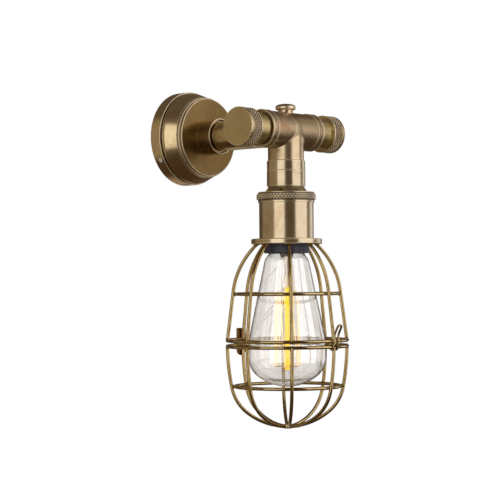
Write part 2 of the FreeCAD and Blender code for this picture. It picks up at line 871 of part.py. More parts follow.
def hinge_upper_leaf():
    """Square leaf brazed to the fixed cage: a knuckle on each side of the lower leaf's."""
    axis = hinge_axis()
    half = hinge_width / 2
    inner = hinge_knuckle / 2 + hinge_side_gap
    leaf = Part.makeBox(hinge_width, hinge_leaf, hinge_leaf_up, vector(-half, leaf_inner, axis.z))
    leaf = leaf.cut(hinge_stretch(-inner, inner, hinge_barrel_r + hinge_clear))
    for side in (-1, 1):
        leaf = leaf.fuse(hinge_stretch(side * inner, side * half, hinge_barrel_r))
    return leaf.cut(hinge_stretch(-hinge_width, hinge_width, hinge_bore_r)).removeSplitter()


def hinge_pin():
    """Headed pin through the knuckles."""
    half = hinge_width / 2 + hinge_side_gap
    pin = hinge_stretch(-half, half, hinge_pin_r)
    for side in (-1, 1):
        head = hinge_stretch(side * half, side * (half + hinge_pin_head), hinge_pin_r + hinge_pin_head_edge)
        pin = pin.fuse(head)
    return pin.removeSplitter()


def latch_axis():
    """The line that the latch turns on: the basket's top ring where the latch's eyes go round it."""
    out = math.sqrt(cage_ring_r ** 2 - latch_half_width ** 2)
    return vector(0, -out, -flange_bottom - basket_ring_depth)


def latch_point(x, out, height):
    """A point of the latch: out from the ring it turns on, and above it."""
    axis = latch_axis()
    return vector(x, axis.y - out, axis.z + height)


def latch_clip():
    """Bent wire clip: an eye round the ring on each side, two kinked legs and a curled thumb loop."""
    bulge = latch_neck + latch_bulge_out
    throat = latch_neck + latch_throat_out
    tip = throat + latch_tip_out
    neck_height = latch_bulge_rise + latch_neck_rise
    throat_height = neck_height + latch_throat_rise
    tip_height = throat_height + latch_tip_rise
    left_end = latch_point(-latch_half_width, tip, tip_height)
    right_end = latch_point(latch_half_width, tip, tip_height)
    heading = latch_point(0, tip, tip_height) - latch_point(0, throat, throat_height)
    heading.normalize()
    top = latch_point(0, tip, tip_height) + heading * latch_half_width
    clip = swept([Part.Arc(left_end, top, right_end).toShape()], latch_wire_r)
    for side in (-1, 1):
        x = side * latch_half_width
        corners = [
            (latch_point(x, latch_eye_r, 0), 0), (latch_point(x, bulge, latch_bulge_rise), latch_bend),
            (latch_point(x, latch_neck, neck_height), latch_bend),
            (latch_point(x, throat, throat_height), latch_curl), (latch_point(x, tip, tip_height), 0),
        ]
        eye = placed(Part.makeTorus(latch_eye_r, latch_wire_r), latch_point(x, 0, 0), right)
        clip = clip.fuse([swept(rounded_edges(corners, False), latch_wire_r), eye])
    return clip


def bulb_point(radius, depth):
    """A point of the bulb's outline, at a depth below the bar's axis."""
    return vector(radius, 0, -depth)


def bulb_outline(inset):
    """Half of the pear-shaped bulb from its lowest point to the top of its neck, drawn in by inset."""
    lowest = bulb_point(0, bulb_bottom - inset)
    haunch = bulb_point(bulb_haunch_r - inset, bulb_bottom - bulb_haunch_rise - inset / 2)
    side_bottom = bulb_bottom - bulb_side_rise
    side = bulb_point(bulb_r - inset, side_bottom)
    first, heading = tangent_arc(lowest, right, haunch)
    second, heading = tangent_arc(haunch, heading, side)
    throat = bulb_throat_r - inset
    throat_depth = bulb_cap_rim + bulb_throat_drop
    rest = rounded_edges([
        (side, 0), (bulb_point(bulb_r - inset, side_bottom - bulb_side_height), bulb_side_round),
        (bulb_point(bulb_shoulder_r - inset, bulb_cap_rim + bulb_shoulder_drop), bulb_shoulder_round),
        (bulb_point(throat, throat_depth), bulb_throat_round),
        (bulb_point(throat, throat_depth - bulb_neck_length), 0),
    ], False)
    return [first, second] + rest


def bulb_glass():
    """Blown glass shell, open at the neck."""
    outer, inner = bulb_outline(0), bulb_outline(glass_wall)
    top = bulb_cap_rim + bulb_throat_drop - bulb_neck_length
    mouth = Part.LineSegment(bulb_point(bulb_throat_r, top), bulb_point(bulb_throat_r - glass_wall, top))
    foot = Part.LineSegment(bulb_point(0, bulb_bottom - glass_wall), bulb_point(0, bulb_bottom))
    edges = Part.sortEdges(outer + inner + [mouth.toShape(), foot.toShape()])[0]
    return Part.Face(Part.Wire(edges)).revolve(centre, up, 360)


def bulb_cap():
    """Screw cap of the bulb, a thin shell closed in at its top."""
    inner = bulb_cap_r - bulb_cap_wall
    hole = bulb_cap_end_r - bulb_cap_wall
    return turned([
        (hole, bulb_cap_top), (bulb_cap_end_r, bulb_cap_top),
        (bulb_cap_r, bulb_cap_top + bulb_cap_end), (bulb_cap_r, bulb_cap_rim), (inner, bulb_cap_rim),
        (inner, bulb_cap_top + bulb_cap_end + bulb_cap_wall), (hole, bulb_cap_top + bulb_cap_wall),
    ], centre, down)


def bulb_insulator():
    """Glass cone between the cap's shell and its contact."""
    top = bulb_tip + bulb_contact_height
    foot_r = bulb_cap_end_r - bulb_cap_wall - weld_gap
    return turned([
        (0, top), (insulator_tip_r, top), (foot_r, bulb_cap_top),
        (foot_r, bulb_cap_top + bulb_cap_wall), (0, bulb_cap_top + bulb_cap_wall),
    ], centre, down)


def bulb_contact():
    bottom = bulb_tip + bulb_contact_height
    return turned([
        (0, bulb_tip), (bulb_contact_r, bulb_tip, small_edge), (bulb_contact_r, bottom), (0, bottom),
    ], centre, down)


def bulb_stem():
    """Glass mount: a flared foot in the neck, a tube, and the rod that carries the hooks."""
    foot = bulb_cap_rim - stem_foot_rise
    foot_r = bulb_throat_r - glass_wall - seat_gap
    tube_end = bulb_cap_rim + stem_end_drop
    rod_end = bulb_bottom - stem_rod_rise
    return turned([
        (0, foot), (foot_r, foot), (stem_r, bulb_cap_rim + stem_neck_drop, bulb_shoulder_round),
        (stem_r, tube_end, soft_edge), (stem_rod_r, tube_end),
        (stem_rod_r, rod_end, small_edge), (0, rod_end),
    ], centre, down)


def hook_point(radius, depth, share):
    """A point round the bulb's axis, at a share of a full turn."""
    turn = 2 * math.pi * share
    return vector(radius * math.cos(turn), radius * math.sin(turn), -depth)


def hook_rows():
    """The two rows of hooks, as radius, depth and the share of a step by which the row is turned."""
    return ((hook_top_r, bulb_cap_rim + hook_top_drop, 0),
            (hook_bottom_r, bulb_bottom - hook_bottom_rise, 1 / 2))


def bulb_supports():
    """Fine hooks that stand out from the rod or its tube near their ends and hold the filament."""
    hooks = []
    for radius, depth, step_share in hook_rows():
        for i in range(hook_count):
            share = (i + step_share) / hook_count
            foot = hook_point(stem_rod_r + weld_gap, depth, share)
            tip = hook_point(radius - filament_r - weld_gap, depth, share)
            hooks.append(rod(hook_wire_r, foot, tip))
    return hooks


def bulb_filament():
    """Filament strung up and down between the two rows of hooks."""
    (top_r, top_depth, unused), (low_r, low_depth, step_share) = hook_rows()
    strands = None
    for i in range(hook_count):
        low = hook_point(low_r, low_depth, (i + step_share) / hook_count)
        for end in (i, i + 1):
            if end == hook_count:
                continue
            strand = rod(filament_r, low, hook_point(top_r, top_depth, end / hook_count))
            strands = strand if strands is None else strands.fuse(strand)
    return strands


def inner_leads():
    """Two cores: out of the terminal block, along the arm, and down through the nipple."""
    start_y = -plate_thickness - terminal_thickness / 2
    leads = []
    for side in (-1, 1):
        x = side * lead_half_spacing
        corners = [
            (vector(x, start_y, -terminal_drop - terminal_bore_depth + seat_gap), 0),
            (vector(x, start_y, -lead_drop), lead_wall_bend),
            (vector(x, -arm_reach, -lead_drop), lead_arm_bend),
            (vector(x, -arm_reach, -holder_top - lead_inset), 0),
        ]
        leads.append(swept(rounded_edges(corners, False), lead_r))
    return leads


def build():
    os.makedirs("parts", exist_ok=True)
    save("wall_plate", wall_plate())
    save("wall_rose", wall_rose())
    save("rose_grub_screws", *rose_grub_screws())
    save("terminal_block", terminal_block())
    save("earth_screw", earth_screw())
    save("arm_tube", arm_tube())
    save("arm_collar", arm_collar())
    save("arm_lock_washer", arm_lock_washer())
    save("arm_lock_nut", arm_lock_nut())
    save("inner_leads", *inner_leads())

    save("tee_body", at_tee(tee_body()))
    for word, side in (("left", -1), ("right", 1)):
        save("neck_" + word, at_tee(neck(side)))
        save("knob_" + word, at_tee(knob(side)))
    save("top_screw", at_tee(top_screw()))
    save("branch_band", at_tee(branch_band()))
    save("drop_sleeve", at_tee(drop_sleeve()))
    save("branch_nipple", at_tee(branch_nipple()))
    save("nipple_nuts", *[at_tee(nut) for nut in nipple_nuts()])

    save("holder_cap", at_tee(holder_cap()))
    save("knurled_ring", at_tee(knurled_ring()))
    save("holder_cup", at_tee(holder_cup()))
    save("lampholder_body", at_tee(lampholder_body()))
    save("screw_shell", at_tee(screw_shell()))
    save("centre_contact", at_tee(centre_contact()))
    save("shade_ring", at_tee(shade_ring()))
    save("cage_flange", at_tee(cage_flange()))

    save("cage_upper_ring", at_tee(cage_upper_ring()))
    save("cage_lower_ring", at_tee(wire_ring(cage_ring_r, lower_ring_depth)))
    save("basket_top_ring", at_tee(wire_ring(cage_ring_r, basket_ring_depth)))
    save("basket_lower_ring", at_tee(basket_lower_ring()))
    for word, rib in (("cage_rib_", cage_rib()), ("basket_rib_", basket_rib())):
        for i, copy in enumerate(round_about(rib, rib_count, rib_turn)):
            save(word + str(i + 1), at_tee(copy))
    save("basket_apex", at_tee(basket_apex()))
    save("hinge_upper_leaf", at_tee(hinge_upper_leaf()))
    save("hinge_lower_leaf", at_tee(hinge_lower_leaf()))
    save("hinge_pin", at_tee(hinge_pin()))
    save("latch_clip", at_tee(latch_clip()))

    save("bulb_glass", at_tee(bulb_glass()))
    save("bulb_cap", at_tee(bulb_cap()))
    save("bulb_insulator", at_tee(bulb_insulator()))
    save("bulb_contact", at_tee(bulb_contact()))
    save("bulb_stem", at_tee(bulb_stem()))
    save("bulb_supports", *[at_tee(hook) for hook in bulb_supports()])
    save("bulb_filament", at_tee(bulb_filament()))


build()
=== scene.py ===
import math

import bpy
import numpy as np
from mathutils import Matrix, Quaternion, Vector


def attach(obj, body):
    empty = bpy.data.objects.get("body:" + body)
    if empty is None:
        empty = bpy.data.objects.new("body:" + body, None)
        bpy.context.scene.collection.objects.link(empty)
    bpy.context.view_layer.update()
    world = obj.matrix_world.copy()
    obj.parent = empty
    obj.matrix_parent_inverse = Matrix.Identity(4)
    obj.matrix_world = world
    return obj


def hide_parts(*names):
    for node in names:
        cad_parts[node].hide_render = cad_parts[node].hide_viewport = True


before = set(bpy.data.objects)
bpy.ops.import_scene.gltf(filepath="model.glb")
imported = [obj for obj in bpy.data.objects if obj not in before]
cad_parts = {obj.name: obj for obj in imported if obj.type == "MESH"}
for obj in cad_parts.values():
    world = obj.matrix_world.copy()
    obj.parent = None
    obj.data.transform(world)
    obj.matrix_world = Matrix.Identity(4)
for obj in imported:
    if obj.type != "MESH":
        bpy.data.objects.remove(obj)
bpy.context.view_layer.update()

# Sizes in millimetres, as in the CAD source. REACH is from the wall to the lamp's axis. Depths down the
# branch are below the bar's axis, and depths in the cage are below FLANGE, the flange's underside. JOINED
# lies between the middles of two wires that are brazed side by side.
MM = 0.001
ROSE_DEPTH = 30.5
REACH = 118.0
BAR_R, BRANCH_R, RIM_R = 15.1, 14.9, 15.7
KNURL_START, KNURL_END, KNOB_END = 46.7, 55.9, 59.0
BOSS_TOP = 17.1
NIPPLE_BORE = 5.05
BRANCH_END, BAND_END, SLEEVE_END = 25.0, 33.3, 46.3
CUP_TOP, CUP_END, FLANGE = 52.2, 89.5, 93.9
THROAT = 17.15
WIRE = 1.45
JOINED = 2 * WIRE + 0.05
RIBS = 8
BIG_RING = 49.4
UPPER_DEPTH, CAGE_RING_DEPTH, BASKET_RING_DEPTH, LOWER_DEPTH = 41.0, 79.2, 83.9, 117.0

X, Y, Z = Vector((1, 0, 0)), Vector((0, 1, 0)), Vector((0, 0, 1))
WALL = Vector((0, 0, 0))
TEE = Vector((0, -REACH, 0))


def make_camera():
    """Camera at the photograph's angle, fitted to the outlines of the rose, rings, knobs and cup."""
    azimuth, elevation, roll = math.radians(-48.03), math.radians(-1.14), math.radians(0.4)
    distance, aside, lower = 1.40391, 0.01289, 0.01774
    back = Vector((math.sin(azimuth) * math.cos(elevation), -math.cos(azimuth) * math.cos(elevation),
                   math.sin(elevation)))
    right = Vector((math.cos(azimuth), math.sin(azimuth), 0))
    up = back.cross(right)
    target = Vector((0, -0.060, -0.080)) + right * aside - up * lower
    data = bpy.data.cameras.new("camera")
    data.lens = 118.98
    data.sensor_width = 36
    data.clip_start = 0.01
    data.clip_end = 50
    camera = bpy.data.objects.new("camera", data)
    camera.location = target + back * distance
    camera.rotation_mode = "QUATERNION"
    camera.rotation_quaternion = Quaternion(back, -roll) @ (-back).to_track_quat("-Z", "Y")
    bpy.context.scene.collection.objects.link(camera)
    bpy.context.scene.camera = camera
    return back, right


towards_camera, image_right = make_camera()


# Outlines and meshes. A corner is rounded by MICRO if it gives no radius, a rounding under EDGE_R is an
# edge or a crease and not a form, and FAR stands for no edge or crease near. A straight run over SHORT
# is cut into runs of about RUN, so that what the points carry varies along it.
MICRO, EDGE_R, FAR = 0.12, 1.7, 50.0
SHORT, RUN, MOST_CUTS = 0.8, 2.5, 12
ARC_STEP, MOST_STEPS = math.radians(18), 14
NEARLY_STRAIGHT = 1.565


def rounded(corners):
    """Closed outline of (x, y[, radius]) corners with an arc at each corner.

    Returns points, outward normals, the distance along, and the distances to the nearest sharp
    outward edge and to the nearest inward corner, all in millimetres."""
    pts = [Vector((c[0], c[1])) for c in corners]
    radii = [c[2] if len(c) > 2 else MICRO for c in corners]
    count = len(pts)
    if sum(p.x * q.y - q.x * p.y for p, q in zip(pts, pts[1:] + pts[:1])) < 0:
        pts.reverse()
        radii.reverse()
    points, normals, kinds = [], [], []
    for i, p in enumerate(pts):
        back, onward = pts[i - 1] - p, pts[(i + 1) % count] - p
        side = 1 if back.y * onward.x - back.x * onward.y > 0 else -1
        half = back.angle(onward, math.pi) / 2
        near = min(back.length, onward.length) * 0.46
        reach = min(radii[i] / math.tan(half) if half < math.pi / 2 - 1e-4 else 0, near)
        back.normalize()
        onward.normalize()
        n0, n1 = Vector((-back.y, back.x)), Vector((onward.y, -onward.x))
        if reach < 1e-5 or half > NEARLY_STRAIGHT:
            points.append(p)
            normals.append((n0 + n1).normalized())
            kinds.append(0)
            continue
        r = reach * math.tan(half)
        centre = p + (back + onward).normalized() * (r / math.sin(half))
        steps = max(2, min(MOST_STEPS, math.ceil((math.pi - 2 * half) / ARC_STEP)))
        for k in range(steps + 1):
            n = n0.slerp(n1, k / steps) if n0.angle(n1, 0) > 1e-4 else n0
            points.append(centre + n * (r * side))
            normals.append(n)
            kinds.append(side if r < EDGE_R else 0)
    full = []
    for i, spot in enumerate(zip(points, normals, kinds)):
        full.append(spot)
        j = (i + 1) % len(points)
        length = (points[j] - points[i]).length
        if length > SHORT and normals[i].angle(normals[j], 0) < 0.02:
            extra = max(1, min(MOST_CUTS, int(length / RUN)))
            full += [(points[i].lerp(points[j], k / (extra + 1)), normals[i], 0) for k in range(1, extra + 1)]
    xy = np.array([tuple(p) for p, _, _ in full])
    nn = np.array([tuple(n) for _, n, _ in full])
    kind = np.array([k for _, _, k in full])
    along = np.concatenate([[0], np.cumsum(np.linalg.norm(np.diff(xy, axis=0), axis=1))])
    total = along[-1] + np.linalg.norm(xy[0] - xy[-1])

    def nearest(which):
        marks = along[kind == which]
        if len(marks) == 0:
            return np.full(len(xy), FAR)
        gap = np.abs(along[:, None] - marks[None, :])
        return np.minimum(gap, total - gap).min(axis=1)

    return xy, nn, along, nearest(1), nearest(-1)


def frame_of(axis):
    """Two directions across an axis, and the axis itself."""
    a = Vector(axis).normalized()
    e1 = Z if abs(a.z) < 0.9 else X
    e1 = (e1 - a * e1.dot(a)).normalized()
    return e1, a.cross(e1), a


def make_object(name, verts, faces, normals=None, smooth=True, **attributes):
    """Mesh object from corners in metres, with the point attributes that the materials read."""
    mesh = bpy.data.meshes.new(name)
    mesh.from_pydata([tuple(v) for v in verts], [], faces)
    mesh.validate()
    if smooth:
        mesh.polygons.foreach_set("use_smooth", [True] * len(mesh.polygons))
    for key, given in ({"edge": FAR, "crease": FAR, "along": 0.0} | attributes).items():
        layer = mesh.attributes.new(key, "FLOAT", "POINT")
        values = np.full(len(verts), given) if np.isscalar(given) else np.asarray(given, float)
        layer.data.foreach_set("value", values.astype(np.float32))
    if normals is not None:
        mesh.normals_split_custom_set_from_vertices([tuple(n) for n in normals])
    obj = bpy.data.objects.new(name, mesh)
    bpy.context.scene.collection.objects.link(obj)
    return obj


def spin(xy, nn, along, edge, crease, base, axis, sides, closed=True):
    """Turns an outline about an axis: vertices in metres, faces, normals and point attributes."""
    e1, e2, a = [np.array(v) for v in frame_of(axis)]
    base = np.array(base)
    turn = np.arange(sides) * 2 * math.pi / sides
    ring = np.outer(np.cos(turn), e1) + np.outer(np.sin(turn), e2)
    verts, normals, rows, att = [], [], [], []
    for i in range(len(xy)):
        r, h = xy[i]
        if r < 1e-6:
            rows.append([len(verts)] * sides)
            verts.append(base + a * h)
            normals.append(a * (1 if nn[i][1] >= 0 else -1))
            att.append((edge[i], crease[i], along[i]))
        else:
            rows.append(list(range(len(verts), len(verts) + sides)))
            verts.extend(base + a * h + ring * r)
            normals.extend(ring * nn[i][0] + a * nn[i][1])
            att.extend([(edge[i], crease[i], along[i])] * sides)
    faces = []
    for i in range(len(xy) if closed else len(xy) - 1):
        lower, upper = rows[i], rows[(i + 1) % len(xy)]
        if lower[0] == lower[1] and upper[0] == upper[1]:
            continue
        for k in range(sides):
            j = (k + 1) % sides
            quad = [lower[k], lower[j], upper[j], upper[k]]
            clean = [v for n, v in enumerate(quad) if v != quad[n - 1]]
            if len(clean) > 2:
                faces.append(clean)
    marks = dict(zip(("edge", "crease", "along"), np.array(att).T))
    return np.array(verts) * MM, faces, np.array(normals), marks


def triangle_wave(values):
    """Runs from 0 up to 1 and back in each whole step."""
    return 1 - np.abs(2 * (values - np.floor(values)) - 1)


def knurl(name, radius, start, end, count, slope, base, axis):
    """Diamond knurl round a band: crossed grooves between flat-topped diamonds, radius to their tops."""
    depth, row, samples, fade, flatness = 0.8, 0.22, 8, 0.35, 1.8
    e1, e2, a = [np.array(v) for v in frame_of(axis)]
    base = np.array(base)
    sides = count * samples
    rows = math.ceil((end - start) / row) + 1
    turn = np.arange(sides) * 2 * math.pi / sides
    verts, height = [], []
    for i in range(rows):
        h = start + (end - start) * i / (rows - 1)
        shift = h * slope
        u = triangle_wave(turn / (2 * math.pi) * count + shift)
        v = triangle_wave(turn / (2 * math.pi) * count - shift)
        rim = min(1, (h - start) / fade, (end - h) / fade)
        high = np.minimum(1.0, flatness * np.minimum(u, v)) * max(rim, 0)
        r = radius - depth + depth * high
        verts.append(base + a * h + np.outer(r * np.cos(turn), e1) + np.outer(r * np.sin(turn), e2))
        height.append(high)
    verts = np.concatenate(verts) * MM
    height = np.concatenate(height)
    faces = []
    for i in range(rows - 1):
        for k in range(sides):
            j = (k + 1) % sides
            faces.append([i * sides + k, i * sides + j, (i + 1) * sides + j, (i + 1) * sides + k])
    # Crests count as edges, paled as wear and painted highlight, and pits as creases, darkened as grime and
    # painted shade.
    return make_object(name, verts, faces, None, False, edge=(1 - height) * 0.7, crease=height * 1.9)


def tube(name, points, radius, closed=False, sides=18, swell=None, capped=False):
    """A round wire along points in millimetres. swell scales its radius at each point."""
    pts = np.array([tuple(p) for p in points], float)
    n = len(pts)
    tang = np.roll(pts, -1, 0) - np.roll(pts, 1, 0) if closed else np.gradient(pts, axis=0)
    tang /= np.linalg.norm(tang, axis=1)[:, None]
    normal = np.cross(tang[0], (0.0, 0.0, 1.0))
    if np.linalg.norm(normal) < 0.05:
        normal = np.cross(tang[0], (1.0, 0.0, 0.0))
    normal /= np.linalg.norm(normal)
    frames = []
    for t in tang:
        normal = normal - t * np.dot(normal, t)
        normal /= np.linalg.norm(normal)
        frames.append((normal.copy(), np.cross(t, normal)))
    turn = np.arange(sides) * 2 * math.pi / sides
    length = np.concatenate([[0], np.cumsum(np.linalg.norm(np.diff(pts, axis=0), axis=1))])
    verts, normals, along = [], [], []
    for i in range(n):
        r = radius if swell is None else radius * swell[i]
        ring = np.outer(np.cos(turn), frames[i][0]) + np.outer(np.sin(turn), frames[i][1])
        verts.append(pts[i] + ring * r)
        normals.append(ring)
        along.append(np.full(sides, length[i]))
    verts, normals, along = [list(np.concatenate(rows)) for rows in (verts, normals, along)]
    faces = []
    for i in range(n if closed else n - 1):
        o, p = i * sides, ((i + 1) % n) * sides
        for k in range(sides):
            j = (k + 1) % sides
            faces.append([o + k, o + j, p + j, p + k])
    for i, sign in ((0, -1), (n - 1, 1)) if capped else ():
        tip, o = len(verts), i * sides
        verts.append(pts[i] + tang[i] * sign * radius * 0.35)
        normals.append(tang[i] * sign)
        along.append(length[i])
        for k in range(sides):
            j = (k + 1) % sides
            faces.append([o + j, o + k, tip] if sign < 0 else [o + k, o + j, tip])
    return make_object(name, np.array(verts) * MM, faces, normals, along=np.array(along))


def blob(name, places):
    """Small brazed beads: ellipsoids (centre, three half axes as vectors), joined in one mesh."""
    verts, faces, normals = [], [], []
    rows, sides = 9, 14
    for centre, ax, ay, az in places:
        centre, ax, ay, az = [np.array(tuple(v), float) for v in (centre, ax, ay, az)]
        inverse = np.linalg.inv(np.stack([ax, ay, az], axis=1)).T
        start = len(verts)
        for i in range(rows + 1):
            lat = math.pi * i / rows
            for k in range(sides):
                lon = 2 * math.pi * k / sides
                unit = np.array((math.sin(lat) * math.cos(lon), math.sin(lat) * math.sin(lon), math.cos(lat)))
                verts.append((centre + ax * unit[0] + ay * unit[1] + az * unit[2]) * MM)
                n = inverse @ unit
                normals.append(n / np.linalg.norm(n))
        for i in range(rows):
            for k in range(sides):
                j = (k + 1) % sides
                a, b = start + i * sides, start + (i + 1) * sides
                quad = [a + k, b + k, b + j, a + j]
                if i in (0, rows - 1):
                    del quad[3 if i == 0 else 2]
                faces.append(quad)
    return make_object(name, verts, faces, normals, crease=0.6)


# Material nodes
def add(tree, kind, inputs=None, **settings):
    """New shader node. An input is linked if it is a socket, and else set."""
    node = tree.nodes.new("ShaderNode" + kind)
    for key, value in settings.items():
        setattr(node, key, value)
    for key, value in (inputs or {}).items():
        socket = node.inputs[key]
        if isinstance(value, bpy.types.NodeSocket):
            tree.links.new(value, socket)
        else:
            socket.default_value = value
    return node


def times(tree, a, b):
    return add(tree, "Math", {0: a, 1: b}, operation="MULTIPLY").outputs[0]


def plus(tree, a, b):
    return add(tree, "Math", {0: a, 1: b}, operation="ADD").outputs[0]


def ranged(tree, source, low, high, to_low=0.0, to_high=1.0):
    """Smooth step from low to high."""
    return add(tree, "MapRange", {0: source, 1: low, 2: high, 3: to_low, 4: to_high},
               interpolation_type="SMOOTHSTEP").outputs[0]


def mixed(tree, factor, a, b):
    """Colour a, or colour b where factor is 1."""
    node = tree.nodes.new("ShaderNodeMix")
    node.data_type = "RGBA"
    for socket, given in ((node.inputs[0], factor), (node.inputs[6], a), (node.inputs[7], b)):
        if isinstance(given, bpy.types.NodeSocket):
            tree.links.new(given, socket)
        else:
            socket.default_value = given if not isinstance(given, tuple) else (*given, 1.0)
    return node.outputs[2]


def noise(tree, vector, scale, detail=4.0, rough=0.6, distortion=0.0):
    return add(tree, "TexNoise", {"Vector": vector, "Scale": scale, "Detail": detail, "Roughness": rough,
                                  "Distortion": distortion}).outputs[0]


def vector_math(tree, operation, a, b):
    return add(tree, "VectorMath", {0: a, 1: b}, operation=operation).outputs[0]


def millimetres(tree, shift=0.0):
    """Object coordinates in millimetres, moved along by shift so that pieces differ."""
    coordinate = add(tree, "TexCoord").outputs["Object"]
    scaled = vector_math(tree, "MULTIPLY", coordinate, (1 / MM, 1 / MM, 1 / MM))
    return vector_math(tree, "ADD", scaled, (shift, shift * 0.7, -shift * 0.4))


def place(tree, axis):
    return add(tree, "SeparateXYZ", {0: millimetres(tree)}).outputs[axis]


def attribute(tree, name):
    return add(tree, "Attribute", attribute_name=name).outputs["Fac"]


def new_material(name, fixed):
    """A material with one shader, whose fixed values are set and never linked."""
    material = bpy.data.materials.new(name)
    material.use_nodes = True
    tree = material.node_tree
    tree.nodes.clear()
    shader = add(tree, "BsdfPrincipled", fixed)
    add(tree, "OutputMaterial", {0: shader.outputs[0]})
    return material, tree, shader


def link(tree, shader, **sources):
    """Links each source to the shader's socket, whose name is written with _ for a space."""
    for key, source in sources.items():
        tree.links.new(source, shader.inputs[key.replace("_", " ")])


REDDISH, BRUSHED, SPECK = (0.44, 0.25, 0.13), (0.36, 0.27, 0.13), (0.24, 0.16, 0.09)
LATHE_LINE, GRIME_AND_SHADE, RUBBED_AND_HIGHLIGHT = (0.30, 0.21, 0.12), (0.07, 0.042, 0.022), (0.86, 0.74, 0.50)


def brass(name, bright, aged, shift, rough, wear_and_highlight=1.0, grime_and_shade=1.0, marks=1.0, red=0.5, patina=1.0, pale=RUBBED_AND_HIGHLIGHT,
          brushed=0.0, shaded_front=None, low=None):
    """Aged brass between two colours, in soft clouds with a reddish bloom and small dark specks.

    wear_and_highlight pales the edges, as rubbed wear and painted highlight, grime_and_shade darkens the
    creases, as grime and painted shade, marks draws the lathe's fine lines and brushed fine upright ones,
    each by its strength. shaded_front is (depth from the wall, two colours) of a face beyond that depth
    painted darker, as painted shade, and low is (height, colour) of a stain below that height, both in
    millimetres."""
    material, tree, shader = new_material(name, {"Metallic": 1.0, "Coat Weight": 0.10, "Coat Roughness": 0.2})
    at = millimetres(tree, shift)
    clouds = noise(tree, at, 0.045, 4.0, 0.55, 0.5)
    mottle = noise(tree, at, 0.30, 5.0, 0.62, 0.3)
    fleck = noise(tree, at, 2.4, 3.0, 0.65)
    blend = plus(tree, times(tree, clouds, 0.68), times(tree, mottle, 0.32))
    dulled = times(tree, ranged(tree, blend, 0.40, 0.64), patina)
    colour = mixed(tree, dulled, bright, aged)
    bloom = noise(tree, vector_math(tree, "ADD", at, (31.0, 7.0, 19.0)), 0.06, 3.0, 0.5, 0.8)
    colour = mixed(tree, times(tree, ranged(tree, bloom, 0.50, 0.72), red), colour, REDDISH)
    if low:
        uneven = plus(tree, place(tree, "Z"), times(tree, bloom, 18.0))
        stain = ranged(tree, uneven, low[0] - 6.0, low[0] + 14.0, 1.0, 0.0)
        colour = mixed(tree, times(tree, stain, 0.6), colour, low[1])
    # The face beyond the given depth is painted darker, as painted shade.
    if shaded_front:
        face = ranged(tree, place(tree, "Y"), -shaded_front[0] - 0.4, -shaded_front[0], 1.0, 0.0)
        colour = mixed(tree, face, colour, mixed(tree, ranged(tree, blend, 0.36, 0.64), shaded_front[1], shaded_front[2]))
    if brushed:
        strokes = noise(tree, vector_math(tree, "MULTIPLY", at, (9.0, 9.0, 0.5)), 1.0, 2.0, 0.6)
        colour = mixed(tree, times(tree, ranged(tree, strokes, 0.35, 0.75), 0.45 * brushed), colour, BRUSHED)
    colour = mixed(tree, times(tree, ranged(tree, fleck, 0.60, 0.76), 0.22 * patina), colour, SPECK)
    dull = plus(tree, plus(tree, times(tree, dulled, 0.07), rough), times(tree, fleck, 0.05))
    height = plus(tree, times(tree, fleck, 0.3), times(tree, mottle, 0.7))
    if marks:
        lines = add(tree, "TexNoise", {"W": attribute(tree, "along"), "Scale": 4.5, "Detail": 3.0,
                                       "Roughness": 0.75}, noise_dimensions="1D").outputs[0]
        colour = mixed(tree, times(tree, ranged(tree, lines, 0.5, 0.8), 0.14 * marks), colour, LATHE_LINE)
        height = plus(tree, height, times(tree, lines, 0.5 * marks))
    # Creases are darkened as grime and painted shade.
    if grime_and_shade:
        uneven = plus(tree, attribute(tree, "crease"), times(tree, mottle, 0.8))
        grime_and_shade_mask = times(tree, ranged(tree, uneven, 0.40, 1.5, 1.0, 0.0), 0.88 * grime_and_shade)
        colour = mixed(tree, grime_and_shade_mask, colour, GRIME_AND_SHADE)
        dull = plus(tree, dull, times(tree, grime_and_shade_mask, 0.22))
    # Edges are paled as rubbed wear and painted highlight.
    if wear_and_highlight:
        uneven = plus(tree, attribute(tree, "edge"), times(tree, mottle, 0.35))
        wear_and_highlight_mask = times(tree, ranged(tree, uneven, 0.16, 0.52, 1.0, 0.0), wear_and_highlight)
        colour = mixed(tree, wear_and_highlight_mask, colour, pale)
        dull = plus(tree, dull, times(tree, wear_and_highlight_mask, 0.14))
    bump = add(tree, "Bump", {"Strength": 0.12, "Distance": 0.00006, "Height": height}).outputs[0]
    link(tree, shader, Base_Color=colour, Roughness=dull, Normal=bump)
    return material


